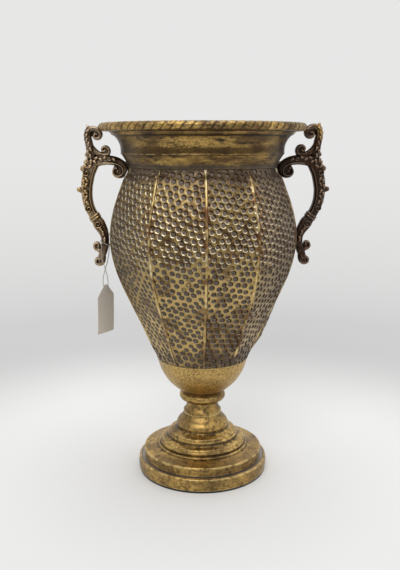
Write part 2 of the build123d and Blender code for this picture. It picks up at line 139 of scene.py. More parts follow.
def split(vector):
    """X, Y and Z of a vector."""
    made = add_node(vector.socket.id_data, "ShaderNodeSeparateXYZ", {0: vector})
    return [Value(socket) for socket in made.outputs]


def join(x, y, z=0.0):
    """Vector from X, Y and Z."""
    return derive("ShaderNodeCombineXYZ", {0: x, 1: y, 2: z})


def step(value, start, end, low=0.0, high=1.0):
    """Smooth step of a value from low at start to high at end."""
    inputs = {"Value": value, "From Min": start, "From Max": end, "To Min": low, "To Max": high}
    return derive("ShaderNodeMapRange", inputs, interpolation_type="SMOOTHSTEP")


def band(value, rise, fall):
    """Product of two smooth steps of a value, each given by its start and end."""
    return step(value, *rise) * step(value, *fall)


def mix_number(factor, a, b):
    """Number between a and b."""
    return derive("ShaderNodeMix", {0: factor, 2: a, 3: b}, data_type="FLOAT")


def mix_colour(factor, a, b, strength=None):
    """Colour from a to b, by a factor that a strength may scale."""
    if strength is not None:
        factor = factor * strength
    return derive("ShaderNodeMix", {0: factor, 6: a, 7: b}, 2, data_type="RGBA")


def noise(place, scale, detail=3.0, roughness=0.55, stretch=(1, 1, 1)):
    """Noise over a place, with its scale in features a metre."""
    if stretch != (1, 1, 1):
        place = vector_calc("MULTIPLY", place, stretch)
    inputs = {"Vector": place, "Scale": scale, "Detail": detail, "Roughness": roughness}
    return derive("ShaderNodeTexNoise", inputs)


def roughened(value, grain, share):
    """Value made uneven by a share of a noise."""
    return value + (grain - 0.5) * share


def object_place(tree):
    """Object coordinates, and their separate parts."""
    place = begin(tree, "ShaderNodeTexCoord", "Object")
    return place, split(place)


def painted(tree, name):
    """A number that the piece's mesh carries."""
    return begin(tree, "ShaderNodeAttribute", "Fac", attribute_name=name)


def axis_distance(x, y):
    """Distance from the vase's axis."""
    return vector_calc("LENGTH", join(x, y))


def new_finish(name):
    """New material, its tree and its shader node."""
    material = bpy.data.materials.new(name)
    material.use_nodes = True
    return material, material.node_tree, material.node_tree.nodes["Principled BSDF"]


def bump(shader, height, distance, strength=1.0):
    """Fine relief on a shader, with its height in metres."""
    inputs = {"Height": height, "Distance": distance, "Strength": strength}
    feed(shader, {"Normal": derive("ShaderNodeBump", inputs)})


# Finishes

GOLD = (0.55, 0.348, 0.1, 1)
PALE_GOLD = (0.77, 0.568, 0.24, 1)
BRIGHT_WEAR_AND_HIGHLIGHT = (0.98, 0.88, 0.62, 1)
LAND_GOLD = (0.43, 0.303, 0.124, 1)
LAND_OLD = (0.165, 0.108, 0.048, 1)
OLD_GOLD = (0.25, 0.16, 0.062, 1)
UMBER_AND_SHADE = (0.1, 0.054, 0.026, 1)
SOOT_AND_SHADE = (0.036, 0.029, 0.024, 1)
PEWTER = (0.36, 0.335, 0.315, 1)
COPPER = (0.2, 0.075, 0.032, 1)
LOW_LAND_LIGHT = (0.68, 0.485, 0.19, 1)
SIDE_LAND = (0.3, 0.228, 0.168, 1)
STAIN_BROWN = (0.09, 0.05, 0.028, 1)
END_SHADE_BROWN = (0.105, 0.078, 0.058, 1)
WELL_PALE = (0.225, 0.176, 0.14, 1)
WELL_DARK = (0.135, 0.1, 0.078, 1)
WELL_LOW = (0.085, 0.066, 0.054, 1)
MARK_SHADE_AND_DARK_RIM = (0.028, 0.015, 0.006, 1)
BODY_SIDE_SHADE = (0.07, 0.05, 0.036, 1)
NECK_SIDE_SHADE = (0.1, 0.079, 0.062, 1)
NECK_FOOT_SHADE = (0.088, 0.07, 0.056, 1)
NECK_BAND_SHADE = (0.075, 0.044, 0.021, 1)
HOLLOW_DIRT = (0.05, 0.036, 0.023, 1)
CAST_SHADE = (0.06, 0.032, 0.02, 1)
# One casting in two colourings: the left handle painted lighter as lit, the right painted darker as shaded
LEFT_LIT_BASE, LEFT_LIT_CREST = (0.295, 0.226, 0.158, 1), (0.62, 0.472, 0.305, 1)
RIGHT_SHADED_BASE, RIGHT_SHADED_CREST = (0.046, 0.033, 0.026, 1), (0.3, 0.205, 0.145, 1)

# Where tints, painted light and painted shade start and are full: heights on the body and the neck, and
# distances to the side, in metres
LOW_LAND_FADE = (0.375, 0.335)
FOOT_END_FADE = (0.206, 0.178)
HEAD_END_FADE = (0.412, 0.44)
LIP_FADE = (0.486, 0.479)
BODY_SIDE_FADE = (0.066, 0.13)
NECK_SIDE_FADE = (0.07, 0.112)


def hammered_brass():
    """Punched sheet brass: gold on the land and the seams, grey patina in the punch marks, rusty stains."""
    material, tree, shader = new_finish("hammered_brass")
    place, (sideways, depth, height) = object_place(tree)
    recess, seam, tone, joint = (painted(tree, name) for name in ("recess", "seam", "tone", "joint"))
    crack, upper, stained, rubbed = (painted(tree, name) for name in ("crack", "upper", "stained", "rubbed"))
    broad = noise(place, 19.0, 4.0)
    cloud = noise(place, 45.0, 4.0, 0.6)
    mottle = noise(place, 190.0, 5.0, 0.65)
    speck = noise(place, 900.0, 2.0)
    low = step(height + broad * 0.06, *LOW_LAND_FADE)

    # Land between the marks: gold, painted lighter low down as painted light, greyer on the right, then
    # browned, rusted and stained, and darkened at the ends
    land = mix_colour(step(mottle, 0.38, 0.6), LAND_OLD, LAND_GOLD)
    land = mix_colour(low, land, LOW_LAND_LIGHT, 0.6)
    on_right = step(sideways / axis_distance(sideways, depth), 0.5, 0.64)
    land = mix_colour(on_right, land, SIDE_LAND, 0.55)
    land = mix_colour(step(cloud, 0.47, 0.64), land, UMBER_AND_SHADE, 0.8)
    rust = calc("MAXIMUM", joint * step(cloud, 0.42, 0.6), step(broad, 0.57, 0.7))
    land = mix_colour(rust * step(low, 0.0, 1.0, 0.6, 0.3), land, COPPER)
    land = mix_colour(stained * step(cloud, 0.36, 0.54, 0.5, 0.95), land, STAIN_BROWN)
    # Painted shade under the edge of the neck, and patchy darkening near the cup
    foot_end = step(height, *FOOT_END_FADE) * step(cloud, 0.36, 0.56, 0.35, 0.9)
    ends = calc("MAXIMUM", step(height, *HEAD_END_FADE), foot_end)
    land = mix_colour(ends, land, END_SHADE_BROWN, 0.8)

    # Marks: patina on the floor, painted shade on the upper side, darker all round the low ones, and a
    # painted highlight on the lit lower side
    well = mix_colour(tone, WELL_PALE, WELL_DARK)
    well = mix_colour(step(cloud, 0.52, 0.7), well, UMBER_AND_SHADE, 0.6)
    well = mix_colour(low, well, WELL_LOW, 0.45)
    filled = step(recess, 0.4, 0.85)
    colour = mix_colour(filled, land, well)
    shaded = band(recess, (0.04, 0.2), (1.0, 0.9)) * step(upper, 0.0, 0.45)
    ring = band(recess, (0.03, 0.14), (0.98, 0.78)) * (low * 0.9)
    colour = mix_colour(calc("MAXIMUM", shaded, ring), colour, MARK_SHADE_AND_DARK_RIM, 0.95)
    # Painted highlight on the lower, lit side of each mark's wall
    painted_highlight = band(recess, (0.03, 0.14), (0.8, 0.5)) * step(upper, 0.0, -0.45)
    painted_highlight = painted_highlight * step(mottle, 0.3, 0.55, 0.45, 0.95) * (1.0 - ends)
    colour = mix_colour(painted_highlight * step(low, 0.0, 1.0, 1.0, 0.35), colour, BRIGHT_WEAR_AND_HIGHLIGHT)

    # Seams: worn bright in places, with a dark crack beside them
    worn_seam = step(seam, 0.25, 0.8) * step(cloud, 0.55, 0.42, 0.08, 0.95)
    worn_seam *= step(noise(place, 85.0, 3.0), 0.38, 0.56, 0.25, 1.0)
    worn_seam *= step(mottle, 0.3, 0.55, 0.55, 1.0)
    bright = mix_colour(step(broad, 0.34, 0.52), BRIGHT_WEAR_AND_HIGHLIGHT, PALE_GOLD)
    colour = mix_colour(calc("MAXIMUM", worn_seam, rubbed), colour, bright)
    colour = mix_colour(crack, colour, SOOT_AND_SHADE, 0.9)
    # Painted shade on the body's sides, towards the handles
    side_shade = step(abs(sideways), *BODY_SIDE_FADE, 0.0, 0.62)
    colour = mix_colour(side_shade, colour, BODY_SIDE_SHADE)

    metal = mix_number(filled, 1.0, 0.45)
    rough = roughened(mix_number(filled, 0.38, 0.55), mottle, 0.3)
    feed(shader, {"Base Color": colour, "Metallic": metal, "Roughness": rough, "Specular IOR Level": 0.3})
    bump(shader, mottle + speck * 0.3, 0.0005, 0.6)
    return material


def turned_brass(name, grooves, brown, pale, stain, grain=170.0, fleck=0.65, streak=1.0, sides=0.0):
    """Turned brass: lathe lines, blotched patina, bright worn edges, dirt in hollows, and painted shade in
    grooves and at the sides.

    Each groove has a level, a reach, a strength, the colour of its painted shade or patina and the radius
    that it ends at (mm).
    """
    material, tree, shader = new_finish(name)
    place, (x, y, height) = object_place(tree)
    worn = painted(tree, "worn")
    broad = noise(place, 24.0, 4.0, stretch=(1, 1, streak))
    mottle = noise(place, grain, 6.0, 0.7, stretch=(1, 1, 0.5 + 0.5 * streak))
    smear = noise(place, 38.0, 5.0, 0.6, stretch=(1, 1, 1.8 * streak))
    speck = noise(place, 650.0, 3.0, 0.6)
    lines = noise(place, 1.0, 2.0, stretch=(6, 6, 1400))

    colour = mix_colour(step(mottle, 0.4, 0.56), OLD_GOLD, GOLD)
    patch = broad * 0.65 + mottle * 0.35
    colour = mix_colour(step(patch, 0.465, 0.59), colour, UMBER_AND_SHADE, brown)
    colour = mix_colour(step(mottle, 0.42, 0.56), colour, PALE_GOLD, pale)
    colour = mix_colour(step(smear, 0.49, 0.68), colour, SOOT_AND_SHADE, stain)
    colour = mix_colour(step(speck, 0.56, 0.68), colour, SOOT_AND_SHADE, fleck)
    colour = mix_colour(step(lines, 0.55, 0.75), colour, PALE_GOLD, 0.2)
    patchy = step(noise(place, 60.0, 3.0), 0.4, 0.6, 0.45, 1.0)
    crest = calc("MAXIMUM", worn - 0.5, 0.0) * patchy
    rub = roughened(crest + calc("MINIMUM", worn, 0.5), mottle, 0.9)
    colour = mix_colour(step(rub, 0.62, 0.9), colour, PALE_GOLD, 0.55)
    colour = mix_colour(step(rub, 0.42, 0.2), colour, HOLLOW_DIRT, 0.85)
    from_axis = axis_distance(x, y)
    # Bands of painted shade at joints and undercuts, or of grey patina
    for level, reach, strength, shade_or_patina, ends_at in grooves:
        away = roughened(abs(height - level * MM), mottle, 0.8 * reach * MM)
        near = step(away, reach * MM, 0.3 * reach * MM) * strength
        inside = step(from_axis, (ends_at + 0.8) * MM, (ends_at - 0.8) * MM)
        colour = mix_colour(near * inside, colour, shade_or_patina)
    # Painted shade on the sides, towards the handles, below the lip
    if sides:
        side_shade = step(abs(x), *NECK_SIDE_FADE, 0.0, sides)
        below_lip = step(height, *LIP_FADE)
        colour = mix_colour(side_shade * below_lip, colour, NECK_SIDE_SHADE)

    rough = 0.24 + mottle * 0.3
    feed(shader, {"Base Color": colour, "Metallic": 1.0, "Roughness": rough})
    bump(shader, lines * 0.4 + (mottle + speck), 0.0004, 0.55)
    return material


def cast_brass(name, dark, crest, gilt, rubbed_at, reach):
    """Cast brass, dark in the hollows, paler on its crests and rubbed to bare metal near one place (mm)."""
    material, tree, shader = new_finish(name)
    place, _ = object_place(tree)
    worn = painted(tree, "worn")
    broad = noise(place, 30.0, 4.0)
    mottle = noise(place, 260.0, 5.0, 0.65)
    speck = noise(place, 1100.0, 2.0)

    away = vector_calc("LENGTH", vector_calc("SUBTRACT", place, [v * MM for v in rubbed_at]))
    rubbed = step(roughened(away, broad, reach * MM), reach * MM, 0.3 * reach * MM)
    high = step(roughened(worn, mottle, 0.5) + rubbed * 0.1, 0.53, 0.78)
    colour = mix_colour(step(broad, 0.4, 0.65), dark, CAST_SHADE)
    colour = mix_colour(rubbed, colour, OLD_GOLD, 0.5 * gilt)
    colour = mix_colour(high, colour, crest, 0.75)
    colour = mix_colour(high * rubbed, colour, GOLD, gilt)
    colour = mix_colour(step(worn, 0.44, 0.26), colour, SOOT_AND_SHADE)

    rough = mix_number(high, 0.42, 0.32)
    feed(shader, {"Base Color": colour, "Metallic": 1.0, "Roughness": rough})
    bump(shader, mottle + speck * 0.4, 0.0004, 0.5)
    return material


def black_felt():
    """Black felt: short dark fibres with a faint sheen."""
    material, tree, shader = new_finish("black_felt")
    place, _ = object_place(tree)
    fibre = noise(place, 1500.0, 4.0, 0.7)
    colour = mix_colour(fibre, (0.008, 0.008, 0.009, 1), (0.03, 0.03, 0.032, 1))
    feed(shader, {"Base Color": colour, "Roughness": 0.95, "Sheen Weight": 0.3})
    bump(shader, fibre, 0.0006)
    return material


def plated_steel():
    """Zinc on steel: pale and clouded."""
    material, tree, shader = new_finish("plated_steel")
    place, _ = object_place(tree)
    cloud = noise(place, 240.0, 4.0)
    colour = mix_colour(cloud, (0.42, 0.42, 0.43, 1), (0.66, 0.66, 0.65, 1))
    rough = mix_number(cloud, 0.25, 0.45)
    feed(shader, {"Base Color": colour, "Metallic": 1.0, "Roughness": rough})
    bump(shader, cloud, 0.0001, 0.4)
    return material


def seal_rubber():
    """Black rubber with a fine grain."""
    material, tree, shader = new_finish("seal_rubber")
    place, _ = object_place(tree)
    grain = noise(place, 900.0, 3.0)
    colour = mix_colour(grain, (0.018, 0.018, 0.018, 1), (0.04, 0.04, 0.04, 1))
    feed(shader, {"Base Color": colour, "Roughness": 0.7})
    bump(shader, grain, 0.0002)
    return material


def tag_thread():
    """Twisted cotton: fine slanted plies along the thread."""
    material, tree, shader = new_finish("tag_thread")
    place, _ = object_place(tree)
    slanted = vector_calc("MULTIPLY", place, (900.0, 900.0, 1300.0))
    plies = {"Vector": slanted, "Scale": 1.0, "Distortion": 1.5}
    wave = derive("ShaderNodeTexWave", plies, "Fac", bands_direction="DIAGONAL")
    fuzz = noise(place, 2400.0, 3.0)
    colour = mix_colour(wave, (0.4, 0.36, 0.29, 1), (0.72, 0.68, 0.6, 1))
    colour = mix_colour(fuzz, colour, (0.5, 0.45, 0.38, 1), 0.4)
    feed(shader, {"Base Color": colour, "Roughness": 0.9})
    bump(shader, wave, 0.0002)
    return material


def tag_card():
    """Uncoated card: fibres, faint clouding and rubbed edges."""
    material, tree, shader = new_finish("tag_card")
    place, _ = object_place(tree)
    cloud = noise(place, 60.0, 4.0)
    fibre = noise(place, 1.0, 3.0, stretch=(2600, 2600, 700))
    colour = mix_colour(cloud, (0.78, 0.715, 0.64, 1), (0.86, 0.8, 0.72, 1))
    colour = mix_colour(fibre, colour, (0.6, 0.55, 0.49, 1), 0.3)
    colour = mix_colour(painted(tree, "edge"), colour, (0.84, 0.8, 0.74, 1), 0.5)
    feed(shader, {"Base Color": colour, "Roughness": 0.85})
    bump(shader, fibre, 0.00012, 0.6)
    return material


# Bands of painted shade at the joints and undercuts, and of grey patina on the plinth's ledge: level, reach,
# strength, colour and the radius that each ends at (mm)
NECK_GROOVES = [
    (442, 9.0, 0.85, NECK_FOOT_SHADE, 150),
    (465.5, 6.5, 0.8, NECK_BAND_SHADE, 150),
    (484, 1.8, 0.75, SOOT_AND_SHADE, 150),
]
CUP_GROOVES = [(171, 1.2, 0.6, SOOT_AND_SHADE, 100), (120, 6.5, 0.85, UMBER_AND_SHADE, 100)]
STEM_GROOVES = [(119, 1.6, 0.9, SOOT_AND_SHADE, 100), (105, 2.2, 0.9, SOOT_AND_SHADE, 100)]
FOOT_GROOVES = [(19.8, 1.6, 0.85, PEWTER, 91)]
NECK_WEAR_AND_SIDE_SHADE = {"grain": 240.0, "fleck": 0.9, "streak": 2.6, "sides": 0.7}
finish = {
    "hammered": hammered_brass(),
    "neck": turned_brass("neck_brass", NECK_GROOVES, brown=1.0, pale=0.08, stain=1.0, **NECK_WEAR_AND_SIDE_SHADE),
    "rope": turned_brass("rope_brass", [], brown=0.95, pale=0.05, stain=0.5, grain=240.0),
    "cup": turned_brass("cup_brass", CUP_GROOVES, brown=0.3, pale=0.4, stain=0.0, grain=480.0, fleck=0.3),
    "stem": turned_brass("stem_brass", STEM_GROOVES, brown=0.75, pale=0.1, stain=0.5),
    "foot": turned_brass("foot_brass", FOOT_GROOVES, brown=0.75, pale=0.15, stain=0.4),
    # The two handles are one brass, with light painted on the left and shade on the right
    "handle_left": cast_brass("handle_left_brass", LEFT_LIT_BASE, LEFT_LIT_CREST, 0.5, (-166, 0, 396), 88),
    "handle_right": cast_brass("handle_right_brass", RIGHT_SHADED_BASE, RIGHT_SHADED_CREST, 0.75, (167, 0, 491), 22),
    "felt": black_felt(),
    "steel": plated_steel(),
    "rubber": seal_rubber(),
    "thread": tag_thread(),
    "card": tag_card(),
}


# Making and placing pieces


def mesh_object(name, verts, faces, smooth=True):
    """Object with a mesh from points and faces."""
    mesh = bpy.data.meshes.new(name)
    mesh.from_pydata([tuple(v) for v in verts], [], faces)
    mesh.polygons.foreach_set("use_smooth", [smooth] * len(mesh.polygons))
    made = bpy.data.objects.new(name, mesh)
    scene.collection.objects.link(made)
    return made


def carry(mesh, name, kind, values):
    """Numbers or vectors kept on a mesh's points."""
    key = "vector" if kind == "FLOAT_VECTOR" else "value"
    mesh.attributes.new(name, kind, "POINT").data.foreach_set(key, np.asarray(values, np.float32).ravel())


def settle(made):
    """Turns an object with modifiers into a plain mesh object of the same name."""
    depsgraph = bpy.context.evaluated_depsgraph_get()
    mesh = bpy.data.meshes.new_from_object(
        made.evaluated_get(depsgraph), preserve_all_data_layers=True, depsgraph=depsgraph
    )
    made.modifiers.clear()
    made.data = mesh
    mesh.name = made.name
    return made


def hand_over(made, material, slot, body, *nodes):
    """Gives a finished piece its material and body, and lets it stand for its CAD nodes; its slot is not
    used.
    """
    made.data.materials.clear()
    made.data.materials.append(material)
    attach(made, body)
    if nodes:
        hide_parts(*nodes)
    return made


def new_tree(name, sockets):
    """Geometry Nodes tree with named inputs: (name, socket kind, default)."""
    tree = bpy.data.node_groups.new(name, "GeometryNodeTree")
    tree.interface.new_socket("Geometry", in_out="INPUT", socket_type="NodeSocketGeometry")
    for label, kind, default in sockets:
        made = tree.interface.new_socket(label, in_out="INPUT", socket_type="NodeSocket" + kind)
        if default is not None:
            made.default_value = default
    tree.interface.new_socket("Geometry", in_out="OUTPUT", socket_type="NodeSocketGeometry")
    given = tree.nodes.new("NodeGroupInput").outputs
    return tree, {socket.name: Value(socket) for socket in given}


def end_tree(tree, geometry, material):
    """Closes a tree with real geometry and its material."""
    real = derive("GeometryNodeRealizeInstances", {0: geometry})
    dressed = derive("GeometryNodeSetMaterial", {"Geometry": real, "Material": material})
    add_node(tree, "NodeGroupOutput", {0: dressed})


def keep_on(geometry, name, value):
    """Keeps a number on the points of a tree's geometry."""
    return derive("GeometryNodeStoreNamedAttribute", {"Geometry": geometry, "Name": name, "Value": value})


def apply_tree(made, tree, values):
    """Puts a tree on an object with its inputs set by identifier, and keeps the result as a plain mesh."""
    modifier = made.modifiers.new(tree.name, "NODES")
    modifier.node_group = tree
    for socket in tree.interface.items_tree:
        if socket.in_out == "INPUT" and socket.name in values:
            modifier[socket.identifier] = values[socket.name]
    return settle(made)


# Gores

# Measuring of the profile
END_GAP, RAY_START = 0.3 * MM, 0.4
PROFILE_LEVELS, PROFILE_DEGREE = 70, 7

# Grid of a gore: columns beside a seam by their distance from it, and every fourth point for the inside
SEAM_COLUMNS = np.array([0.06, 0.3, 0.7, 1.2, 1.75, 2.3, 2.9, 3.5]) * MM
MIDDLE_COLUMNS, ROWS = 98, 372
THIN = 4

# Lengths over which a gore runs out round at its ends, its radius under the neck and a trim of its belly
ROUND_BELOW, ROUND_ABOVE = 24.0 * MM, 14.0 * MM
NECK_SEAT_RADIUS = 103.2 * MM
BELLY_TRIM, BELLY_LOW, BELLY_HIGH = 0.9 * MM, 0.26, 0.4

# Gores with a look of their own, the shares of their width and the shifts of the seams in degrees
RIGHT_GORE, FRONT_LEFT_GORE, FRONT_RIGHT_GORE = 0, 7, 8
WIDTH_SHARES = {6: 1.06, FRONT_LEFT_GORE: 0.91, FRONT_RIGHT_GORE: 0.845, 9: 1.1}
SEAM_TURNS, SEAM_SHIFTS = (-90, -36, 0, 36, 90), (0, 3.2, 0, -5.6, 0)
SHIFT_LEVELS, SHIFT_SHARES = (0.2, 0.25, 0.32, 0.4, 0.445), (0, 0.35, 1, 1, 0.7)

# Way up over a punch mark, towards its painted shade and away from its painted highlight, and the places of
# the rubbed seam, the stain and the bulge
MARK_TOP = (0.42, 0.9, 0.0)
CRACK_DEPTH = 0.5 * MM
RUBBED_FADE = (0.392, 0.404)
STAIN_FADE = (0.264, 0.236)
BULGE_TOP, BULGE_FOOT = (0.3, 0.222), (0.183, 0.206)
BULGE_OFFSET, BULGE_SIDES = 6.0 * MM, (27.0 * MM, 8.0 * MM)


def gore_sides():
    """Radius at mid-panel against height, from a CAD panel without a screw hole, and the panel's ends."""
    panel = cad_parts["body_panel_02"]
    low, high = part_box("body_panel_02")
    turn = 2 * math.pi / GORE_COUNT
    out = Vector((math.cos(turn), math.sin(turn), 0))
    levels = np.linspace(low.z + END_GAP, high.z - END_GAP, PROFILE_LEVELS)
    radii = []
    for level in levels:
        _, place, _, _ = panel.ray_cast(out * RAY_START + Vector((0, 0, level)), -out)
        radii.append(place.xy.length)
    return np.polynomial.Polynomial.fit(levels, radii, PROFILE_DEGREE), low.z, high.z


body_radius, body_bottom, body_top = gore_sides()
gore_foot = body_bottom + 4.0 * MM


def smooth(values, start, end):
    """Smooth step of an array from 0 at start to 1 at end."""
    t = np.clip((values - start) / (end - start), 0, 1)
    return t * t * (3 - 2 * t)


def gore_blank():
    """One smooth gore facing +X, a closed sheet that carries the numbers for the hammering.

    The gore is flatter than a round body, but runs out round at the cup and at the neck.
    """
    fine = np.linspace(gore_foot, body_top, 2000)
    run = np.concatenate([[0], np.cumsum(np.hypot(np.diff(fine), np.diff(body_radius(fine))))])
    along = np.linspace(0, run[-1], ROWS + 1)
    level = np.interp(along, run, fine)
    trim = BELLY_TRIM * smooth(level, body_bottom, BELLY_LOW) * smooth(level, body_top, BELLY_HIGH)
    middle = body_radius(level) - trim
    edge = math.pi / GORE_COUNT
    flat = GORE_FLATNESS * MM

    def gore_reach(turn):
        """Distance from the vase's axis at a turn from mid-panel, for every row."""
        near = middle[:, None]
        faceted = np.sqrt((flat * np.cos(turn)) ** 2 - flat**2 + (near + flat) ** 2) - flat * np.cos(turn)
        foot = smooth(level, gore_foot + ROUND_BELOW, gore_foot)[:, None]
        head = smooth(level, body_top - ROUND_ABOVE, body_top)[:, None]
        return faceted * (1 - foot - head) + near * foot + NECK_SEAT_RADIUS * head

    seam_reach = gore_reach(np.full((ROWS + 1, 1), edge))
    beside = edge - SEAM_COLUMNS / seam_reach
    between = beside[:, -1:] * np.linspace(-1, 1, MIDDLE_COLUMNS + 1)[None, 1:-1]
    turn = np.hstack([-beside, between, beside[:, ::-1]])
    reach = gore_reach(turn)
    across = reach * np.sin(turn)
    outside = np.dstack([reach * np.cos(turn), across, np.repeat(level[:, None], turn.shape[1], 1)])
    from_seam = (edge - np.abs(turn)) * seam_reach
    sideways, upward = np.gradient(outside, axis=1), np.gradient(outside, axis=0)
    out = np.cross(sideways, upward)
    out /= np.linalg.norm(out, axis=2, keepdims=True)
    inside = (outside - out * PANEL_WALL * MM)[::THIN, ::THIN]
    rows, columns = across.shape
    thin_rows, thin_columns = inside.shape[:2]

    o = np.arange(rows * columns).reshape(rows, columns)
    i = rows * columns + np.arange(thin_rows * thin_columns).reshape(thin_rows, thin_columns)
    faces = np.dstack([o[:-1, :-1], o[:-1, 1:], o[1:, 1:], o[1:, :-1]]).reshape(-1, 4).tolist()
    faces += np.dstack([i[:-1, :-1], i[1:, :-1], i[1:, 1:], i[:-1, 1:]]).reshape(-1, 4).tolist()
    for fine_edge, thin_edge, turned_over in (
        (o[0], i[0], True),
        (o[-1], i[-1], False),
        (o[:, 0], i[:, 0], False),
        (o[:, -1], i[:, -1], True),
    ):
        for k in range(len(thin_edge) - 1):
            corners = (*fine_edge[k * THIN : (k + 1) * THIN + 1], thin_edge[k + 1], thin_edge[k])
            face = [int(v) for v in corners]
            faces.append(face[::-1] if turned_over else face)

    blank = mesh_object("gore_blank", np.vstack([outside.reshape(-1, 3), inside.reshape(-1, 3)]), faces)
    spare = np.zeros(thin_rows * thin_columns)
    for name, values in (
        ("across", across.ravel()),
        ("along", np.repeat(along, columns)),
        ("from_seam", from_seam.ravel()),
        ("outer", np.ones(rows * columns)),
    ):
        carry(blank.data, name, "FLOAT", np.concatenate([values, spare]))
    carry(blank.data, "out", "FLOAT_VECTOR", np.vstack([out.reshape(-1, 3), np.zeros((len(spare), 3))]))
    return blank


def shift_seams(mesh):
    """Moves the seams beside the front one nearer to it, as the vase was beaten and joined by hand."""
    place = np.empty(len(mesh.vertices) * 3, np.float32)
    mesh.vertices.foreach_get("co", place)
    x, y, z = place.reshape(-1, 3).T
    turn = np.degrees(np.arctan2(x, -y))
    shift = np.interp(turn, SEAM_TURNS, SEAM_SHIFTS) * np.interp(z, SHIFT_LEVELS, SHIFT_SHARES)
    turn = np.radians(turn + shift)
    reach = np.hypot(x, y)
    moved = np.column_stack([reach * np.sin(turn), -reach * np.cos(turn), z])
    mesh.vertices.foreach_set("co", moved.astype(np.float32).ravel())
    mesh.update()


def hammering_tree():
    """Punch marks in slanted, jittered rows over a gore, waves in its sheet and a raised seam on one edge."""
    tree, given = new_tree(
        "hammering",
        [
            ("Mark Spacing", "Float", 9.5 * MM),
            ("Mark Radius", "Float", 3.95 * MM),
            ("Mark Depth", "Float", 1.2 * MM),
            ("Row Slant", "Float", 0.2),
            ("Row Shift", "Vector", (0, 0, 0)),
            ("Width Share", "Float", 1.0),
            ("Jitter", "Float", 0.24),
            ("Seam Height", "Float", 0.95 * MM),
            ("Seam Width", "Float", 3.2 * MM),
            ("Wave Height", "Float", 0.9 * MM),
            ("Bulge Height", "Float", 0.0),
            ("Stain", "Float", 0.0),
            ("Rubbed Seam", "Float", 0.0),
            ("Finish", "Material", None),
        ],
    )

    def carried(name, kind="FLOAT"):
        """What the blank carries under a name."""
        return begin(tree, "GeometryNodeInputNamedAttribute", inputs={"Name": name}, data_type=kind)

    across, outer, from_seam = carried("across"), carried("outer"), carried("from_seam")
    here = begin(tree, "GeometryNodeInputPosition")
    level = split(here)[2]

    # Nearest mark of two shifted lattices, and the way from its middle
    place = join(across * given["Width Share"], carried("along"))
    slant = {"Vector": place, "Angle": given["Row Slant"]}
    place = derive("ShaderNodeVectorRotate", slant, rotation_type="Z_AXIS")
    place = vector_calc("ADD", place, given["Row Shift"])
    pitch = join(given["Mark Spacing"], given["Mark Spacing"] * math.sqrt(3), 1.0)
    cell = vector_calc("DIVIDE", place, pitch)
    found = []
    for shift in ((0.0, 0.0, 0.0), (0.5, 0.5, 0.0)):
        at = vector_calc("ADD", cell, shift)
        lattice = {"Vector": at, "Scale": 1.0, "Randomness": given["Jitter"]}
        marks = add_node(tree, "ShaderNodeTexVoronoi", lattice, voronoi_dimensions="2D", feature="F1")
        middle, chance = (Value(marks.outputs[name]) for name in ("Position", "Color"))
        gap = vector_calc("MULTIPLY", vector_calc("SUBTRACT", at, middle), pitch)
        rise = vector_calc("DOT_PRODUCT", gap, MARK_TOP)
        found.append((vector_calc("LENGTH", gap), split(chance), rise))
    (far_a, chance_a, rise_a), (far_b, chance_b, rise_b) = found
    from_b = calc("LESS_THAN", far_b, far_a)
    far = calc("MINIMUM", far_a, far_b)
    tone = mix_number(from_b, chance_a[0], chance_b[0])
    size = mix_number(from_b, chance_a[1], chance_b[1])
    upper = mix_number(from_b, rise_a, rise_b) / given["Mark Radius"]

    # Wells of the marks, clear of the seams
    radius = given["Mark Radius"] * step(size, 0.0, 1.0, 0.9, 1.08)
    well = step(far, radius, radius * 0.58)
    drift = vector_calc("ADD", here, given["Row Shift"])
    ragged = noise(drift, 75.0, 3.0)
    over_joint = calc("GREATER_THAN", across, 0.0)
    width = given["Seam Width"] * step(ragged, 0.3, 0.7, 0.7, 1.1)
    start = width * mix_number(over_joint, 0.3, 1.0)
    clear = step(from_seam, start, start + 1.7 * MM)
    well = well * clear * outer
    depth = given["Mark Depth"] * step(tone, 0.0, 1.0, 0.8, 1.1)

    # Seam on the gore's lapping edge, and the crack beside the next gore's seam
    proud = step(level, gore_foot, body_bottom + 40 * MM, 0.25, 1.0)
    share = from_seam / width
    from_middle = abs(share * 2.0 - 1.0)
    arch = calc("MAXIMUM", 1.0 - from_middle**2.6, 0.0)
    lapped = over_joint * outer * proud
    ridge = arch * lapped
    seam = step(share, 1.08, 0.9) * lapped
    rubbed = seam * step(level, *RUBBED_FADE) * given["Rubbed Seam"]
    stained = step(level, *STAIN_FADE) * outer * given["Stain"]
    joint = step(from_seam, 10.0 * MM, 2.5 * MM) * outer
    under = calc("LESS_THAN", across, 0.0) * outer
    crack = step(from_seam, 1.5 * MM, 0.6 * MM) * under * step(ragged, 0.38, 0.52)

    # All of it as one push along the blank's outward direction
    swell = (noise(drift, 17.0, 2.0) - 0.5) * given["Wave Height"]
    lift = swell * (clear * outer)
    off_middle = abs(across + BULGE_OFFSET)
    bulge = band(level, BULGE_TOP, BULGE_FOOT) * step(off_middle, *BULGE_SIDES)
    lift = lift + bulge * given["Bulge Height"] + ridge * given["Seam Height"]
    lift = lift - well * depth - crack * CRACK_DEPTH
    push = {0: carried("out", "FLOAT_VECTOR"), "Scale": lift}
    offset = derive("ShaderNodeVectorMath", push, operation="SCALE")

    shape = given["Geometry"]
    for label, value in (
        ("recess", well),
        ("seam", seam),
        ("tone", tone),
        ("joint", joint),
        ("crack", crack),
        ("upper", upper),
        ("stained", stained),
        ("rubbed", rubbed),
    ):
        shape = keep_on(shape, label, value)
    shape = derive("GeometryNodeSetPosition", {"Geometry": shape, "Offset": offset})
    end_tree(tree, shape, given["Finish"])
    return tree


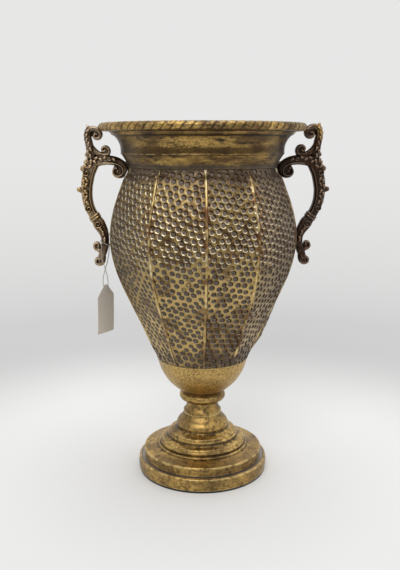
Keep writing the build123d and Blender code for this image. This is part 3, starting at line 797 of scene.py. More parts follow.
blank = gore_blank()
hammering = hammering_tree()
for index in range(GORE_COUNT):
    label = f"body_panel_{index + 1:02d}"
    gore = bpy.data.objects.new(f"hammered_gore_{index + 1:02d}", blank.data)
    scene.collection.objects.link(gore)
    apply_tree(
        gore,
        hammering,
        {
            "Row Shift": (0.131 * index, 0.077 * index, 0.0),
            "Row Slant": 0.24 if index % 2 else 0.17,
            "Width Share": WIDTH_SHARES.get(index, 1.0),
            "Bulge Height": 6.0 * MM if index == RIGHT_GORE else 0.0,
            "Stain": 0.85 if index == FRONT_RIGHT_GORE else 0.0,
            "Rubbed Seam": 0.95 if index == FRONT_LEFT_GORE else 0.0,
            "Finish": finish["hammered"],
        },
    )
    for spare in ("across", "along", "from_seam", "outer", "out"):
        gore.data.attributes.remove(gore.data.attributes[spare])
    gore.data.transform(Matrix.Rotation(2 * math.pi * index / GORE_COUNT, 4, "Z"))
    shift_seams(gore.data)
    hand_over(gore, finish["hammered"], "hammered_brass", "root", label)
bpy.data.objects.remove(blank)


# Rope rim

STRAND_STEPS, BEAD_SIDES = 22.0, 28


def rope_tree():
    """Ring of twisted strands: a bead whose section swells and sinks along a slanting lay."""
    tree, given = new_tree(
        "rope_twist",
        [
            ("Ring Radius", "Float", RIM_RADIUS * MM),
            ("Level", "Float", RIM_LEVEL * MM),
            ("Bead Radius", "Float", 5.7 * MM),
            ("Strands", "Int", 72),
            ("Lay", "Float", -2.1),
            ("Groove", "Float", 0.26),
            ("Seat", "Float", LIP_TOP * MM),
            ("Finish", "Material", None),
        ],
    )

    def circle(points, radius):
        """Round curve with a number of points."""
        inputs = {"Resolution": points, "Radius": radius}
        return begin(tree, "GeometryNodeCurvePrimitiveCircle", inputs=inputs)

    ring = circle(given["Strands"] * STRAND_STEPS, given["Ring Radius"])
    section = circle(BEAD_SIDES, given["Bead Radius"])
    bead = derive("GeometryNodeCurveToMesh", {"Curve": ring, "Profile Curve": section})
    x, y, z = split(begin(tree, "GeometryNodeInputPosition"))
    from_axis = calc("SQRT", x * x + y * y)
    round_ring = calc("ARCTAN2", y, x)
    round_bead = calc("ARCTAN2", z, from_axis - given["Ring Radius"])

    # Strands with narrow grooves, which fade out on the bead's underside
    turn = round_ring * given["Strands"] + round_bead * given["Lay"]
    crown = abs(calc("COSINE", turn * 0.5)) ** 0.16
    notched = step(abs(round_bead - 0.5), 1.85, 1.45)
    sunk = 1.0 - mix_number(notched, 1.0, crown)
    worn = step(sunk, 0.3, 0.08, 0.0, 0.72)
    girth = (1.0 - sunk * given["Groove"]) * given["Bead Radius"]
    reach = given["Ring Radius"] + girth * calc("COSINE", round_bead)
    rise = given["Level"] + girth * calc("SINE", round_bead)
    to = join(
        reach * calc("COSINE", round_ring),
        reach * calc("SINE", round_ring),
        calc("MAXIMUM", rise, given["Seat"]),
    )
    bead = keep_on(bead, "worn", worn)
    bead = derive("GeometryNodeSetPosition", {"Geometry": bead, "Position": to})
    bead = derive("GeometryNodeSetShadeSmooth", {"Geometry": bead, "Shade Smooth": True})
    end_tree(tree, bead, given["Finish"])
    return tree


rope = mesh_object("rope_twist_rim", [(0, 0, 0)], [])
apply_tree(rope, rope_tree(), {"Finish": finish["rope"]})
hand_over(rope, finish["rope"], "plain_brass", "root", "rope_rim")


# Turned pieces: closed outlines of radius, height and corner rounding in millimetres, from the axis outwards


def smooth_line(points, count=9):
    """Smooth line through points, with sharp ends and a number of steps between neighbours."""
    p = np.array([points[0], *points, points[-1]], float)
    line = []
    for a, b, c, d in zip(p, p[1:], p[2:], p[3:]):
        square, cube = 2 * a - 5 * b + 4 * c - d, 3 * b - a - 3 * c + d
        for t in np.linspace(0, 1, count, endpoint=False):
            line.append(0.5 * (2 * b + (c - a) * t + square * t**2 + cube * t**3))
    line.append(p[-1])
    return np.array(line)


def through(points, count=10):
    """Outline points on a smooth line through (radius, height) points."""
    return [(float(r), float(z), 0.0) for r, z in smooth_line(points, count)]


def rounded(outline, steps=5):
    """Outline with each corner rounded by its own radius."""
    corners = [Vector((r, z)) for r, z, _ in outline]
    result = []
    for k, (corner, (_, _, size)) in enumerate(zip(corners, outline)):
        before = corners[k - 1] - corner
        after = corners[(k + 1) % len(corners)] - corner
        angle = before.angle(after, math.pi)
        if size <= 0 or angle > 3.05:
            result.append(corner)
            continue
        cut = min(size / math.tan(angle / 2), 0.48 * before.length, 0.48 * after.length)
        start, end = corner + before.normalized() * cut, corner + after.normalized() * cut
        for t in np.linspace(0, 1, steps):
            result.append(start * (1 - t) ** 2 + corner * 2 * t * (1 - t) + end * t**2)
    return result


def edge_wear(line, spread=1.5):
    """Wear along a closed outline: 1 on its edges, 0 in its hollows and 0.5 where it is flat."""
    p = np.array([tuple(v) for v in line])
    ahead = np.roll(p, -1, axis=0) - p
    heading = np.arctan2(ahead[:, 1], ahead[:, 0])
    bend = (heading - np.roll(heading, 1) + math.pi) % (2 * math.pi) - math.pi
    gap = np.linalg.norm(p[:, None] - p[None], axis=2)
    return np.clip(0.5 + 0.4 * (np.exp(-((gap / spread) ** 2)) @ bend), 0, 1)


def turned(name, outline, segments):
    """Piece turned from a closed outline that runs anticlockwise, seen with the axis on the left."""
    line = rounded(outline)
    angles = np.linspace(0, 2 * math.pi, segments, endpoint=False)
    verts = [(p.x * MM * math.cos(t), p.x * MM * math.sin(t), p.y * MM) for t in angles for p in line]
    n = len(line)
    faces = []
    for s in range(segments):
        here, there = s * n, (s + 1) % segments * n
        faces += [(here + k, there + k, there + (k + 1) % n, here + (k + 1) % n) for k in range(n)]
    made = mesh_object(name, verts, faces)
    carry(made.data, "worn", "FLOAT", np.tile(edge_wear(line), segments))
    made.data.set_sharp_from_angle(angle=math.radians(42))
    return made


neck_outline = [
    (97.8, 432, 0.3),
    (99.8, 432, 0.3),
    (99.8, 442, 0),
    (104, 442, 1.0),
    *through([(103.8, 446), (104.7, 449), (106.6, 451.9), (108.2, 454.6), (110.0, 457.2)], 6),
    (111.0, 459.0, 0.6),
    (112.9, 460.4, 0.9),
    (112.4, 462.2, 0.6),
    *through(
        [(112.5, 464.6), (112.7, 468), (113.2, 471), (114.2, 474)]
        + [(115.6, 477), (117.4, 480), (119.6, 482.6), (122, 484.8)]
    ),
    (123.4, 485.0, 0.3),
    (124.8, 486.0, 0.6),
    *through([(126.0, 487.6), (127.4, 489.2), (129.0, 489.9)], 5),
    (138.6, 490.5, 0),
    *through([(126, 490.5), (117.6, 485.6), (112.8, 479.6), (110.4, 473.8), (108.7, 468), (107.4, 462)]),
    (102, 452, 2),
    (102, 444, 0.5),
    (97.8, 444, 0.5),
]
cup_outline = [
    (4.3, 119, 0.2),
    *through(
        [(31, 119), (36.2, 123.2), (41.6, 128), (47.2, 133.3), (52.0, 139)]
        + [(57.0, 147), (61.1, 155.4), (64.6, 167), (65.6, 171)]
    ),
    (63.4, 171, 0.2),
    (63.4, 177, 0.4),
    (61.2, 177, 0.4),
    *through([(61.2, 167), (58.4, 156), (54.2, 147.4), (49.6, 140.2), (41.6, 131.6), (31, 123)]),
    (4.3, 123, 0.2),
]
collar_outline = [
    (4.3, 105, 0.2),
    *through(
        [(27, 105), (30.4, 106.0), (32.8, 108.6), (33.5, 111.8), (32.7, 114.8), (30.4, 117.2), (28.6, 119)],
        6,
    ),
    (4.3, 119, 0.2),
]
stem_outline = [
    (4.3, 86, 0.2),
    (27.8, 86, 0.5),
    (27.2, 88.6, 0.5),
    (27.5, 89.4, 0.6),
    (26.6, 90.2, 0.5),
    *through([(25.6, 91.2), (24.0, 94.4), (23.0, 98), (22.8, 101), (23.6, 103.4), (26, 105)], 6),
    (4.3, 105, 0.2),
]
foot_outline = [
    (76.2, 17.5, 0.3),
    (79.7, 17.5, 0.3),
    (79.7, 20.5, 0),
    (80.4, 20.5, 0),
    (80.6, 19.8, 0),
    (85.2, 19.8, 1.0),
    (85.2, 29.6, 0.6),
    (86.2, 30.2, 0.5),
    (86.2, 33.6, 2.0),
    *through([(83, 33.9), (74, 35.2), (66.4, 37.2)], 6),
    (65.9, 38.9, 0.7),
    (64.4, 39.5, 0.7),
    (62.0, 40.0, 0.9),
    (62.9, 42.4, 1.3),
    (62.0, 45.0, 1.2),
    (60.4, 45.8, 0.9),
    (59.6, 47.8, 1.2),
    (53.6, 49.4, 1.8),
    (50.6, 51.8, 1.1),
    (51.3, 53.6, 1.2),
    (50.6, 55.6, 1.2),
    (49.0, 56.4, 0.9),
    (48.2, 58.6, 1.2),
    *through(
        [(43.6, 60.0), (39.6, 61.6), (37.6, 63.4), (37.3, 65.2)]
        + [(37.8, 67.6), (37.2, 71.2), (35.2, 75.0), (32.0, 78.4)],
        6,
    ),
    *through([(29.6, 81.0), (28.2, 83.4), (27.6, 86)], 5),
    (4.3, 86, 0.2),
    (4.3, 74, 0.2),
    (26.8, 74, 1),
    (35.1, 63.3, 1),
    (46.5, 51, 1),
    (57.5, 39.5, 1),
    (57.5, 33.5, 1),
    (76.2, 30, 1),
]
plinth_outline = [
    (89, 15.5, 0.3),
    (89, 2.5, 0.3),
    (93.5, 2.5, 1.2),
    *through([(94.1, 6), (94.5, 11), (94.2, 16)], 5),
    (93.6, 19.6, 1.6),
    (90.5, 20.5, 0.8),
    (89.5, 19.6, 0.5),
    (80, 19.6, 0.6),
    (80, 15.5, 0.3),
]
turned_pieces = (
    ("turned_neck", neck_outline, 224, "neck", "neck"),
    ("turned_cup", cup_outline, 160, "cup", "bottom_cup"),
    ("turned_collar", collar_outline, 128, "stem", "collar_ring"),
    ("turned_stem", stem_outline, 128, "stem", "stem"),
    ("turned_foot", foot_outline, 192, "foot", "foot"),
    ("turned_plinth", plinth_outline, 192, "foot", "plinth"),
)
for name, outline, segments, look, node in turned_pieces:
    hand_over(turned(name, outline, segments), finish[look], "plain_brass", "root", node)


# Handles: cast scrolls, built for the right side in millimetres and fused


def band_faces(rings, sides):
    """Faces of a tube between rings that have the same number of points."""
    faces = []
    for k in range(rings - 1):
        here, there = k * sides, (k + 1) * sides
        for s in range(sides):
            after = (s + 1) % sides
            faces.append((here + s, there + s, there + after, here + after))
    return faces


class Casting:
    """Closed shapes that are gathered to be fused into one casting."""

    def __init__(self):
        self.verts, self.faces = [], []

    def add(self, verts, faces):
        """Takes in one closed shape."""
        start = len(self.verts)
        self.verts += [tuple(v) for v in verts]
        self.faces += [tuple(start + k for k in face) for face in faces]

    def rope(self, line, sizes, square=2.0, sides=20, back=0.0):
        """Tube along a line in the XZ plane, with a (width, depth) at each place, from round to square."""
        line = np.asarray(line, float)
        along = np.gradient(line, axis=0)
        along /= np.linalg.norm(along, axis=1, keepdims=True)
        across = np.column_stack([-along[:, 1], along[:, 0]])
        t = np.linspace(0, 2 * math.pi, sides, endpoint=False)
        u = np.sign(np.cos(t)) * np.abs(np.cos(t)) ** (2 / square)
        v = np.sign(np.sin(t)) * np.abs(np.sin(t)) ** (2 / square)
        verts = []
        for place, side, (width, depth) in zip(line, across, sizes):
            for a, b in zip(u, v):
                p = place + side * a * width / 2
                verts.append((p[0], back + b * depth / 2, p[1]))
        last = (len(line) - 1) * sides
        faces = band_faces(len(line), sides)
        faces.append(tuple(range(sides)))
        faces.append(tuple(last + s for s in reversed(range(sides))))
        self.add(verts, faces)

    def pod(self, centre, size, lean=0.0, rings=8, sides=12):
        """Ellipsoid with half sizes along, back and across, leaning by an angle in the XZ plane."""
        c, s = math.cos(lean), math.sin(lean)
        verts = []
        for a in np.linspace(-math.pi / 2, math.pi / 2, rings + 1)[1:-1]:
            for b in np.linspace(0, 2 * math.pi, sides, endpoint=False):
                x = size[0] * math.sin(a)
                y = size[1] * math.cos(a) * math.cos(b)
                z = size[2] * math.cos(a) * math.sin(b)
                verts.append((centre[0] + c * x - s * z, centre[1] + y, centre[2] + s * x + c * z))
        for end in (-1, 1):
            verts.append((centre[0] + end * c * size[0], centre[1], centre[2] + end * s * size[0]))
        pole = (rings - 1) * sides
        last = pole - sides
        faces = band_faces(rings - 1, sides)
        faces += [(pole, j, (j + 1) % sides) for j in range(sides)]
        faces += [(pole + 1, last + (j + 1) % sides, last + j) for j in range(sides)]
        self.add(verts, faces)

    def roll(self, centre, radius, depth):
        """Solid round body of a scroll, with a raised eye on each face."""
        rise = np.linspace(-radius, radius, 13)
        core = np.column_stack([np.full_like(rise, centre[0]), centre[1] + rise])
        self.rope(core, [(2 * math.sqrt(max(radius**2 - h**2, 0.5)), depth) for h in rise], 3, 18)
        eye = 0.34 * radius
        self.pod((centre[0], 0, centre[1]), (eye, depth * 0.5 + 1.6, eye))

    def curl(self, centre, radius, start, turns, width, face):
        """Small spiral in low relief on a face of the strap. Turns below zero run clockwise."""
        t = np.linspace(0, 1, int(22 * abs(turns)) + 2)
        angle = math.radians(start) + 2 * math.pi * turns * t
        away = radius * (1 - 0.8 * t)
        line = np.column_stack([centre[0] + away * np.cos(angle), centre[1] + away * np.sin(angle)])
        self.rope(line, [(width * (1 - 0.3 * k), 3.8) for k in t], 2, 10, face)


# Lines of the straps and scrolls: (x, z, width) stations from their roots to their ends
STRAP = [
    (144.5, 314.5, 8.0), (141.2, 321.5, 10.5), (138.3, 329.0, 10.4), (136.9, 337.0, 10.4),
    (137.3, 346.0, 11.2), (139.9, 353.4, 13.2), (144.2, 360.4, 15.6), (147.2, 365.0, 16.4),
    (150.4, 369.6, 14.2), (153.2, 373.8, 13.0), (157.4, 380.6, 13.0), (161.2, 389.0, 13.6),
    (163.8, 399.0, 14.6), (164.6, 411.0, 15.4), (163.4, 423.0, 16.6), (160.4, 434.6, 16.6),
    (155.0, 445.4, 16.0),
]
ARM = [
    (161.0, 444.0, 14.0), (148.0, 450.2, 14.4), (137.0, 451.6, 13.4), (128.0, 451.4, 13.2),
    (120.0, 449.6, 12.2), (113.0, 445.4, 11.2), (109.8, 440.0, 10.2), (110.7, 433.8, 8.0),
    (114.8, 430.4, 6.8), (119.6, 430.0, 6.0), (123.6, 432.4, 5.4), (124.9, 436.4, 4.8),
    (122.8, 440.2, 4.2), (119.6, 440.0, 3.6),
]
TOP_SCROLL = [
    (156.0, 446.0, 13.0), (157.0, 456.0, 12.4), (158.6, 468.0, 11.2), (160.6, 479.0, 10.4),
    (161.6, 487.4, 9.2), (159.8, 494.0, 9.2), (154.6, 497.0, 8.6), (148.4, 495.6, 7.4),
    (144.4, 491.2, 6.8), (144.2, 486.2, 6.2), (147.6, 483.0, 5.6), (151.8, 484.0, 4.8),
    (152.8, 487.6, 4.2), (150.4, 489.6, 3.6),
]
ARM_SCROLL = [
    (158.6, 474.0, 7.0), (154.6, 466.8, 8.6), (149.0, 461.8, 8.4), (142.6, 459.4, 7.0),
    (136.0, 458.9, 6.0), (131.9, 461.4, 5.2), (131.4, 466.2, 4.8), (134.4, 470.4, 4.6),
    (138.9, 470.8, 4.4), (141.5, 467.4, 4.0), (139.8, 464.2, 3.6), (137.2, 465.2, 3.2),
]
LEG_SCROLL = [
    (137.6, 333.0, 8.0), (140.6, 328.0, 7.2), (145.0, 327.0, 5.8), (150.0, 328.6, 4.8),
    (152.0, 332.8, 4.4), (149.8, 337.0, 4.0), (146.0, 336.2, 3.6), (146.2, 333.0, 3.0),
]
LOW_SCROLL = [
    (141.2, 321.5, 9.0), (140.6, 315.0, 8.4), (141.6, 309.6, 7.0), (145.4, 306.9, 5.6),
    (149.6, 308.8, 4.8), (150.2, 313.4, 4.2), (147.0, 315.4, 3.6), (145.2, 312.8, 3.0),
]

# Carving on the faces: curls by place, radius, start in degrees and turns, leaves by place, length and lean
CURLS = [
    (147.6, 363.8, 5.4, 200, 1.4),
    (161.6, 385.4, 4.6, 30, -1.3),
    (164.0, 434.4, 4.8, 60, -1.3),
    (130.6, 453.6, 3.0, 200, 1.2),
]
LEAVES = [
    (137.0, 342.0, 5.0, 92), (139.6, 351.4, 5.2, 68), (143.2, 357.4, 4.6, 50), (163.0, 393.6, 5.0, 48),
    (167.2, 395.4, 4.4, 100), (165.0, 400.6, 4.6, 118), (168.6, 404.6, 4.2, 70), (165.4, 408.6, 4.6, 50),
    (169.2, 415.4, 4.4, 104), (165.2, 417.6, 4.8, 128), (168.0, 422.6, 4.2, 84), (163.8, 425.4, 4.6, 58),
    (158.8, 443.2, 4.8, 150), (164.6, 443.4, 4.4, 40), (157.0, 449.6, 4.6, 100), (162.0, 451.6, 4.2, 62),
    (157.6, 457.4, 4.4, 84), (160.6, 463.0, 4.4, 70), (157.4, 467.2, 4.2, 60), (123.6, 452.6, 4.2, 24),
    (137.0, 455.2, 4.2, 160), (143.0, 453.0, 4.4, 200), (149.4, 454.6, 4.2, 158), (151.8, 449.6, 4.0, 205),
]


def handle_casting():
    """Right handle with its scrolls, beads, leaves and carved strap."""
    cast = Casting()
    strap = smooth_line(STRAP)
    cast.rope(strap[:, :2], [(w, 15.2) for w in strap[:, 2]], 3.6, 32)
    for line, depth, square in (
        (ARM, 15.0, 3.0),
        (TOP_SCROLL, 14.0, 3.0),
        (ARM_SCROLL, 12.0, 2.8),
        (LEG_SCROLL, 12.0, 2.8),
        (LOW_SCROLL, 12.4, 2.8),
    ):
        path = smooth_line(line)
        swell = np.linspace(1.0, 1.12, len(path))
        cast.rope(path[:, :2], [(w, depth * k) for w, k in zip(path[:, 2], swell)], square, 24)
    for centre, radius, depth in (
        ((118.8, 437.2), 8.2, 12.6),
        ((149.2, 489.0), 7.4, 11.6),
        ((136.8, 465.6), 5.6, 10.0),
        ((147.6, 332.6), 4.6, 10.0),
        ((145.6, 311.6), 5.0, 10.4),
    ):
        cast.roll(centre, radius, depth)
    cast.pod((106.6, 0, 443.2), (3.8, 5.8, 4.4))

    # Scalloped leaf over the outer side of the top scroll, up to its point
    for x, z, lean in ((162.4, 475.4, 76), (164.6, 481.8, 82), (165.0, 488.4, 96), (163.4, 494.8, 122)):
        cast.pod((x, 0, z), (3.7, 6.9, 2.6), math.radians(lean))
        for face in (-6.6, 6.6):
            cast.pod((x - 2.2, face, z - 0.6), (3.4, 2.2, 1.9), math.radians(lean + 18), 6, 10)
    cast.pod((161.4, 0, 499.4), (3.6, 4.4, 2.2), math.radians(70))

    # Raised border along the inner edge of the strap and the underside of the arm
    arm = smooth_line(ARM)
    for path in (strap[strap[:, 1] > 377], arm[14:]):
        along = np.gradient(path[:, :2], axis=0)
        along /= np.linalg.norm(along, axis=1, keepdims=True)
        inward = np.column_stack([-along[:, 1], along[:, 0]])
        border = path[:, :2] + inward * (path[:, 2:] / 2 - 2.9)
        for face in (-7.2, 7.2):
            cast.rope(border, [(1.9, 3.2)] * len(border), 2, 10, face)

    # Bead at the outer junction, leaf knuckle below it, and the thorn on the strap's back
    cast.pod((162.8, 0, 459.2), (3.5, 4.6, 3.5))
    cast.pod((167.0, 0, 440.2), (6.2, 6.8, 4.8), math.radians(-6))
    cast.pod((163.6, 0, 447.4), (5.2, 6.6, 3.4), math.radians(38))
    cast.pod((166.0, 0, 429.4), (6.4, 6.8, 4.0), math.radians(-62))
    cast.pod((170.0, 0, 411.0), (6.4, 5.2, 5.0))
    cast.pod((175.2, 0, 411.4), (3.7, 3.7, 3.7))

    # Double ring collar
    tilt = math.radians(58)
    along = np.array([math.cos(tilt), math.sin(tilt)])
    for shift in (-1.9, 1.9):
        middle = np.array([153.0, 373.6]) + shift * along
        ring = [middle + along * k for k in (-1.6, -0.9, 0.0, 0.9, 1.6)]
        cast.rope(ring, [(14.4, 15.8), (16.4, 17.4), (17.0, 18.0), (16.4, 17.4), (14.4, 15.8)], 3.0, 28)

    # Carving in low relief on both faces of the strap, the arm and the leg
    for face in (-7.5, 7.5):
        for x, z, radius, start, turns in CURLS:
            cast.curl((x, z), radius, start, turns, 1.9, face)
        for x, z, long, lean in LEAVES:
            cast.pod((x, face, z), (0.84 * long, 2.1, 2.3), math.radians(lean), 6, 10)

    # Leaf wrapped round the low scroll
    for degrees in (165, 205, 245, 285):
        a = math.radians(degrees)
        cast.pod((145.4 + 5.6 * math.cos(a), 0, 312.4 + 5.6 * math.sin(a)), (2.6, 6.6, 2.0), a + math.pi / 2)
    return cast


# Skin of the neck and the rim that the handles keep clear of, in millimetres
NECK_LEVELS = (442, 446, 449, 454.6, 459.4, 461, 471, 477, 484.2, 489.6, 490.4, 494, 501)
NECK_RADII = (104, 104, 104.9, 108.4, 112, 113, 113.4, 115.8, 122.6, 128.4, 138.6, 142.6, 142.6)
HANDLE_GAP = 0.3 * MM

# How the left handle differs: its lean towards the vase by level, more on its outer side, and its lower top
LEAN_LEVELS, LEAN_SHIFTS = (345, 374, 410, 455, 475, 500), (0.0, 3.0, 4.4, 4.0, 4.6, 5.0)
OUTER_SIDE, OUTER_SHARES = (122, 150), (0.5, 1.0)
DROP_LEVELS, DROP_SHIFTS = (455, 500), (0.0, 3.6)


def worn_share(mesh):
    """How far each point of a mesh stands out from its neighbours: 0 in hollows, 1 on crests."""
    count = len(mesh.vertices)

    def read(items, name, size, kind):
        """Numbers of a mesh's points or edges, one row for each."""
        values = np.empty(len(items) * size, kind)
        items.foreach_get(name, values)
        return values.reshape(-1, size)

    place = read(mesh.vertices, "co", 3, np.float32).astype(float)
    normal = read(mesh.vertices, "normal", 3, np.float32).astype(float)
    a, b = read(mesh.edges, "vertices", 2, np.int32).T
    gap = place[b] - place[a]
    length = np.linalg.norm(gap, axis=1) + 1e-9
    bend = np.zeros(count)
    number = np.bincount(a, minlength=count) + np.bincount(b, minlength=count) + 1e-9
    bend += np.bincount(a, np.einsum("ij,ij->i", normal[a], gap) / length, count)
    bend += np.bincount(b, np.einsum("ij,ij->i", normal[b], -gap) / length, count)
    bend /= number
    for _ in range(5):
        near = np.bincount(a, bend[b], count) + np.bincount(b, bend[a], count)
        bend = 0.5 * bend + 0.5 * near / number
    return np.clip(0.5 - bend * 3.2, 0, 1)


def clear_of_vase(mesh):
    """Presses a handle's points that would be inside the vase out to its skin."""
    for vertex in mesh.vertices:
        z = min(max(vertex.co.z, body_bottom), 0.5)
        if z <= body_top:
            skin = float(body_radius(z))
        else:
            skin = float(np.interp(z / MM, NECK_LEVELS, NECK_RADII)) * MM
        away = math.hypot(vertex.co.x, vertex.co.y)
        if away < skin + HANDLE_GAP:
            vertex.co.xy *= (skin + HANDLE_GAP) / away


cast = handle_casting()
right = mesh_object("cast_handle_right", np.array(cast.verts) * MM, cast.faces)
fuse = right.modifiers.new("fuse", "REMESH")
fuse.mode = "VOXEL"
fuse.voxel_size = 0.62 * MM
soften = right.modifiers.new("soften", "SMOOTH")
soften.factor = 0.5
soften.iterations = 2
settle(right)
clear_of_vase(right.data)
right.data.polygons.foreach_set("use_smooth", [True] * len(right.data.polygons))
carry(right.data, "worn", "FLOAT", worn_share(right.data))
left = bpy.data.objects.new("cast_handle_left", right.data.copy())
scene.collection.objects.link(left)
left.data.transform(Matrix.Scale(-1, 4, (1, 0, 0)))
left.data.flip_normals()
for vertex in left.data.vertices:
    inward = np.interp(vertex.co.z / MM, LEAN_LEVELS, LEAN_SHIFTS)
    vertex.co.x += inward * np.interp(-vertex.co.x / MM, OUTER_SIDE, OUTER_SHARES) * MM
    vertex.co.z -= np.interp(vertex.co.z / MM, DROP_LEVELS, DROP_SHIFTS) * MM
clear_of_vase(left.data)
hand_over(right, finish["handle_right"], "handle_brass", "root", "handle_right")
hand_over(left, finish["handle_left"], "handle_brass", "root", "handle_left")


# String and hang tag

LEG_X, LEG_LEVEL, LEG_WIDTH = 136.854, 336.966, 10.78
HITCH_WIDE, HITCH_DEEP, HITCH_LEAN, HITCH_ROUND = LEG_WIDTH / 2 + 0.9, 8.75, 3.25, 0.42
THREAD_RADIUS = 0.5
TAG_LENGTH, TAG_THICKNESS = 70.0, 0.6
TAG_HALF, TAG_TIP_HALF, TAG_SHOULDER = 17.5, 3.0, 16.0
TAG_BEND = 30.0
HOLE_DROP, HOLE_RADIUS = 10.5, 1.1
TAG_GRID = (28, 48)

# Route of the string: percent of its drop outwards, of its depth to the back and of its drop downwards
STRING_DROP = 70.5
STRAND_DEPTH = 10.1
STRING_AT_HOLE = (6, 7)
STRING_SHARES = [
    (6.4, -100.0, -2.8), (7.2, -98.0, 15.6), (5.4, -87.0, 35.5), (0.4, -68.0, 51.8),
    (-3.4, -40.0, 69.5), (-3.8, -26.0, 86.5), (-2.4, -19.4, 100.0), (5.5, 19.4, 100.0),
    (7.0, 26.0, 86.5), (6.7, 40.0, 69.5), (1.4, 68.0, 51.8), (-3.5, 87.0, 35.5),
    (-6.1, 98.0, 18.4), (-6.7, 100.0, 3.5),
]
string_route = [
    (
        (-LEG_X - STRING_DROP * out / 100) * MM,
        STRAND_DEPTH * behind / 100 * MM,
        (LEG_LEVEL - STRING_DROP * down / 100) * MM,
    )
    for out, behind, down in STRING_SHARES
]


def thread(name, points, closed):
    """Round thread along control points."""
    curve = bpy.data.curves.new(name, "CURVE")
    curve.dimensions = "3D"
    curve.bevel_depth = THREAD_RADIUS * MM
    curve.bevel_resolution = 3
    curve.resolution_u = 10
    spline = curve.splines.new("NURBS")
    spline.points.add(len(points) - 1)
    for point, place in zip(spline.points, points):
        point.co = (*place, 1.0)
    spline.order_u = 3
    spline.use_endpoint_u = not closed
    spline.use_cyclic_u = closed
    made = bpy.data.objects.new(name, curve)
    scene.collection.objects.link(made)
    return made


def hitch_points():
    """Places round the leg for the string's turn, close to the leg on every side."""
    places = []
    for degrees in np.arange(0, 360, 15):
        a = math.radians(degrees)
        u = math.copysign(abs(math.cos(a)) ** HITCH_ROUND, math.cos(a))
        v = math.copysign(abs(math.sin(a)) ** HITCH_ROUND, math.sin(a))
        out, back, rise = u * HITCH_WIDE, v * HITCH_DEEP, u * HITCH_LEAN
        places.append(((-LEG_X - out) * MM, back * MM, (LEG_LEVEL + rise) * MM))
    return places


def hang_tag():
    """Plain card with clipped corners, a punched hole and a slight curl, square to the string in its hole."""
    before, after = (Vector(string_route[k]) for k in STRING_AT_HOLE)
    hole = before.lerp(after, 0.5)
    facing = (before - after).normalized()
    side = Vector((-facing.y, facing.x, 0))
    up = Vector((0, 0, 1))
    across, along = TAG_GRID
    verts, edge = [], []
    for layer in (1, -1):
        for j in range(along + 1):
            down = TAG_LENGTH * j / along
            half = TAG_TIP_HALF + (TAG_HALF - TAG_TIP_HALF) * min(down / TAG_SHOULDER, 1.0)
            for i in range(across + 1):
                u = 2 * i / across - 1
                curl = 1.1 * (u * half / TAG_HALF) ** 2 * (0.25 + 0.75 * down / TAG_LENGTH)
                sag = curl + 0.9 * (max(down - TAG_BEND, 0) / (TAG_LENGTH - TAG_BEND)) ** 2
                flat = hole + side * (u * half * MM) + up * ((HOLE_DROP - down) * MM)
                verts.append(flat + facing * ((layer * TAG_THICKNESS / 2 - sag) * MM))
                edge.append(1.0 if i in (0, across) or j in (0, along) else 0.0)
    count = (across + 1) * (along + 1)
    grid = np.arange(count).reshape(along + 1, across + 1)
    faces = []
    for j in range(along):
        for i in range(across):
            quad = [int(grid[j, i]), int(grid[j + 1, i]), int(grid[j + 1, i + 1]), int(grid[j, i + 1])]
            faces.append(quad)
            faces.append([v + count for v in quad[::-1]])
    loop = [*grid[0, :], *grid[1:, -1], *grid[-1, -2::-1], *grid[-2:0:-1, 0]]
    for a, b in zip(loop, loop[1:] + loop[:1]):
        faces.append([int(a), int(b), int(b) + count, int(a) + count])
    card = mesh_object("paper_tag", verts, faces)
    carry(card.data, "edge", "FLOAT", edge)
    shaper = bmesh.new()
    shaper.from_mesh(card.data)
    bmesh.ops.recalc_face_normals(shaper, faces=shaper.faces)
    shaper.to_mesh(card.data)
    shaper.free()

    bpy.ops.mesh.primitive_cylinder_add(vertices=32, radius=HOLE_RADIUS * MM, depth=8 * MM)
    punch = bpy.context.object
    punch.matrix_world = Matrix.Translation(hole) @ facing.to_track_quat("Z", "Y").to_matrix().to_4x4()
    cut = card.modifiers.new("punch", "BOOLEAN")
    cut.operation = "DIFFERENCE"
    cut.object = punch
    bpy.context.view_layer.update()
    settle(card)
    bpy.data.objects.remove(punch)
    card.data.set_sharp_from_angle(angle=math.radians(40))
    return card


hand_over(hang_tag(), finish["card"], "tag_card", "tag", "hang_tag")
string = thread("hanging_string", string_route, False)
hand_over(string, finish["thread"], "tag_thread", "string", "tag_string")
hitch_curve = thread("string_turn", hitch_points(), True)
hitch_mesh = bpy.data.meshes.new_from_object(
    hitch_curve.evaluated_get(bpy.context.evaluated_depsgraph_get())
)
bpy.data.objects.remove(hitch_curve)
hitch = bpy.data.objects.new("string_turn", hitch_mesh)
scene.collection.objects.link(hitch)
hand_over(hitch, finish["thread"], "tag_thread", "root", "string_hitch")


# CAD pieces that keep their own shape

for node, look in (
    ("felt_pad", "felt"),
    ("seal_washer", "rubber"),
    ("clamp_plate", "steel"),
    ("tie_rod", "steel"),
    ("top_nut", "steel"),
    ("top_washer", "steel"),
    ("bottom_nut", "steel"),
    ("bottom_washer", "steel"),
    ("handle_screws", "steel"),
):
    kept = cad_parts[node].data
    kept.materials.clear()
    kept.materials.append(finish[look])


# Floor, light and camera

FLOOR_REACH = 14.0
# Floor colours: painted light near the vase, a ring of painted shade round it, a little darker far out
FLOOR_NEAR, FLOOR_CLOUD = (0.732, 0.733, 0.732, 1), (0.742, 0.743, 0.742, 1)
FLOOR_FAR = (0.642, 0.642, 0.638, 1)
FLOOR_SHADE = (0.505, 0.508, 0.508, 1)
ROOM_PALE, ROOM_DARK = (0.8, 0.8, 0.795, 1), (0.2, 0.19, 0.18, 1)

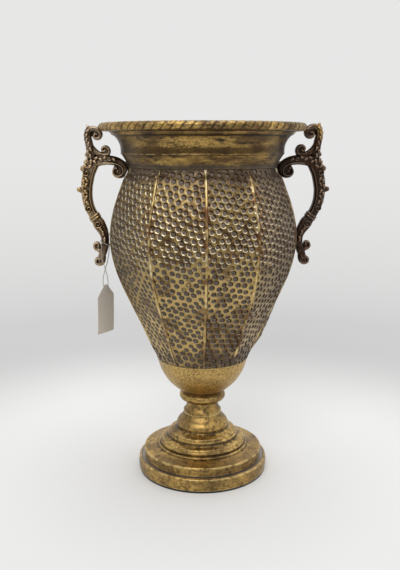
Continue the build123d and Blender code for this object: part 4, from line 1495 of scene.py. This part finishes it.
# Camera: its lens in pixels of a picture of this height, its height in metres and its angles in degrees
LENS_PIXELS, PICTURE_PIXELS, SENSOR_HEIGHT = 711.16, 570, 36.0
CAMERA_LEVEL = 0.4739
CAMERA_SWING, CAMERA_YAW, CAMERA_PITCH = 2.9, 2.7, 11.245


def pale_floor():
    """Pale flat floor with painted light and shade: lighter near the vase, a ring of painted shade round it
    that fades outwards, and a little darker further out.
    """
    material, tree, shader = new_finish("pale_floor")
    place, _ = object_place(tree)
    away = vector_calc("LENGTH", place)
    cloud = noise(place, 2.0, 2.0)
    fade = calc("MINIMUM", (0.95 / away) ** 1.1, 1.0)
    shade = step(away, 0.28, 0.72) * fade
    near = mix_colour(cloud, FLOOR_NEAR, FLOOR_CLOUD)
    colour = mix_colour(step(away, 0.35, 1.0), near, FLOOR_FAR)
    colour = mix_colour(shade, colour, FLOOR_SHADE)
    feed(shader, {"Base Color": colour, "Roughness": 0.95, "Specular IOR Level": 0.0})
    return material


turns = np.linspace(0, 2 * math.pi, 96, endpoint=False)
floor_edge = [(FLOOR_REACH * math.cos(t), FLOOR_REACH * math.sin(t), 0) for t in turns]
floor = mesh_object("floor", floor_edge, [tuple(range(len(floor_edge)))])
floor.data.materials.append(pale_floor())

world = bpy.data.worlds.new("studio")
scene.world = world
world.use_nodes = True
tree = world.node_tree
_, ahead, above = split(begin(tree, "ShaderNodeTexCoord", "Generated"))
room = step(ahead, -0.2, -0.85) * step(above, 0.85, 0.4)
sky = mix_colour(room, ROOM_PALE, ROOM_DARK)
feed(tree.nodes["Background"], {"Color": sky, "Strength": 1.0})


def lamp(name, towards, strength, spread):
    """Even light from a direction, as soft as its spread in degrees."""
    sun = bpy.data.lights.new(name, "SUN")
    sun.energy = strength
    sun.angle = math.radians(spread)
    made = bpy.data.objects.new(name, sun)
    made.rotation_euler = Vector(towards).to_track_quat("Z", "Y").to_euler()
    scene.collection.objects.link(made)


lamp("key_lamp", (-0.22, -0.8, 0.75), 1.0, 36)
lamp("fill_lamp", (0.9, -0.35, 0.45), 0.22, 60)
lamp("top_lamp", (0.1, 0.2, 1.0), 0.9, 60)

camera_data = bpy.data.cameras.new("camera")
camera_data.sensor_fit = "VERTICAL"
camera_data.sensor_height = SENSOR_HEIGHT
camera_data.lens = LENS_PIXELS / PICTURE_PIXELS * SENSOR_HEIGHT
camera = bpy.data.objects.new("camera", camera_data)
scene.collection.objects.link(camera)
swing, yaw, pitch = (math.radians(v) for v in (CAMERA_SWING, CAMERA_YAW, CAMERA_PITCH))
camera.location = (-math.sin(swing), -math.cos(swing), CAMERA_LEVEL)
look = Vector((math.sin(yaw) * math.cos(pitch), math.cos(yaw) * math.cos(pitch), -math.sin(pitch)))
camera.rotation_euler = look.to_track_quat("-Z", "Y").to_euler()
scene.camera = camera

scene.view_settings.view_transform = "Standard"
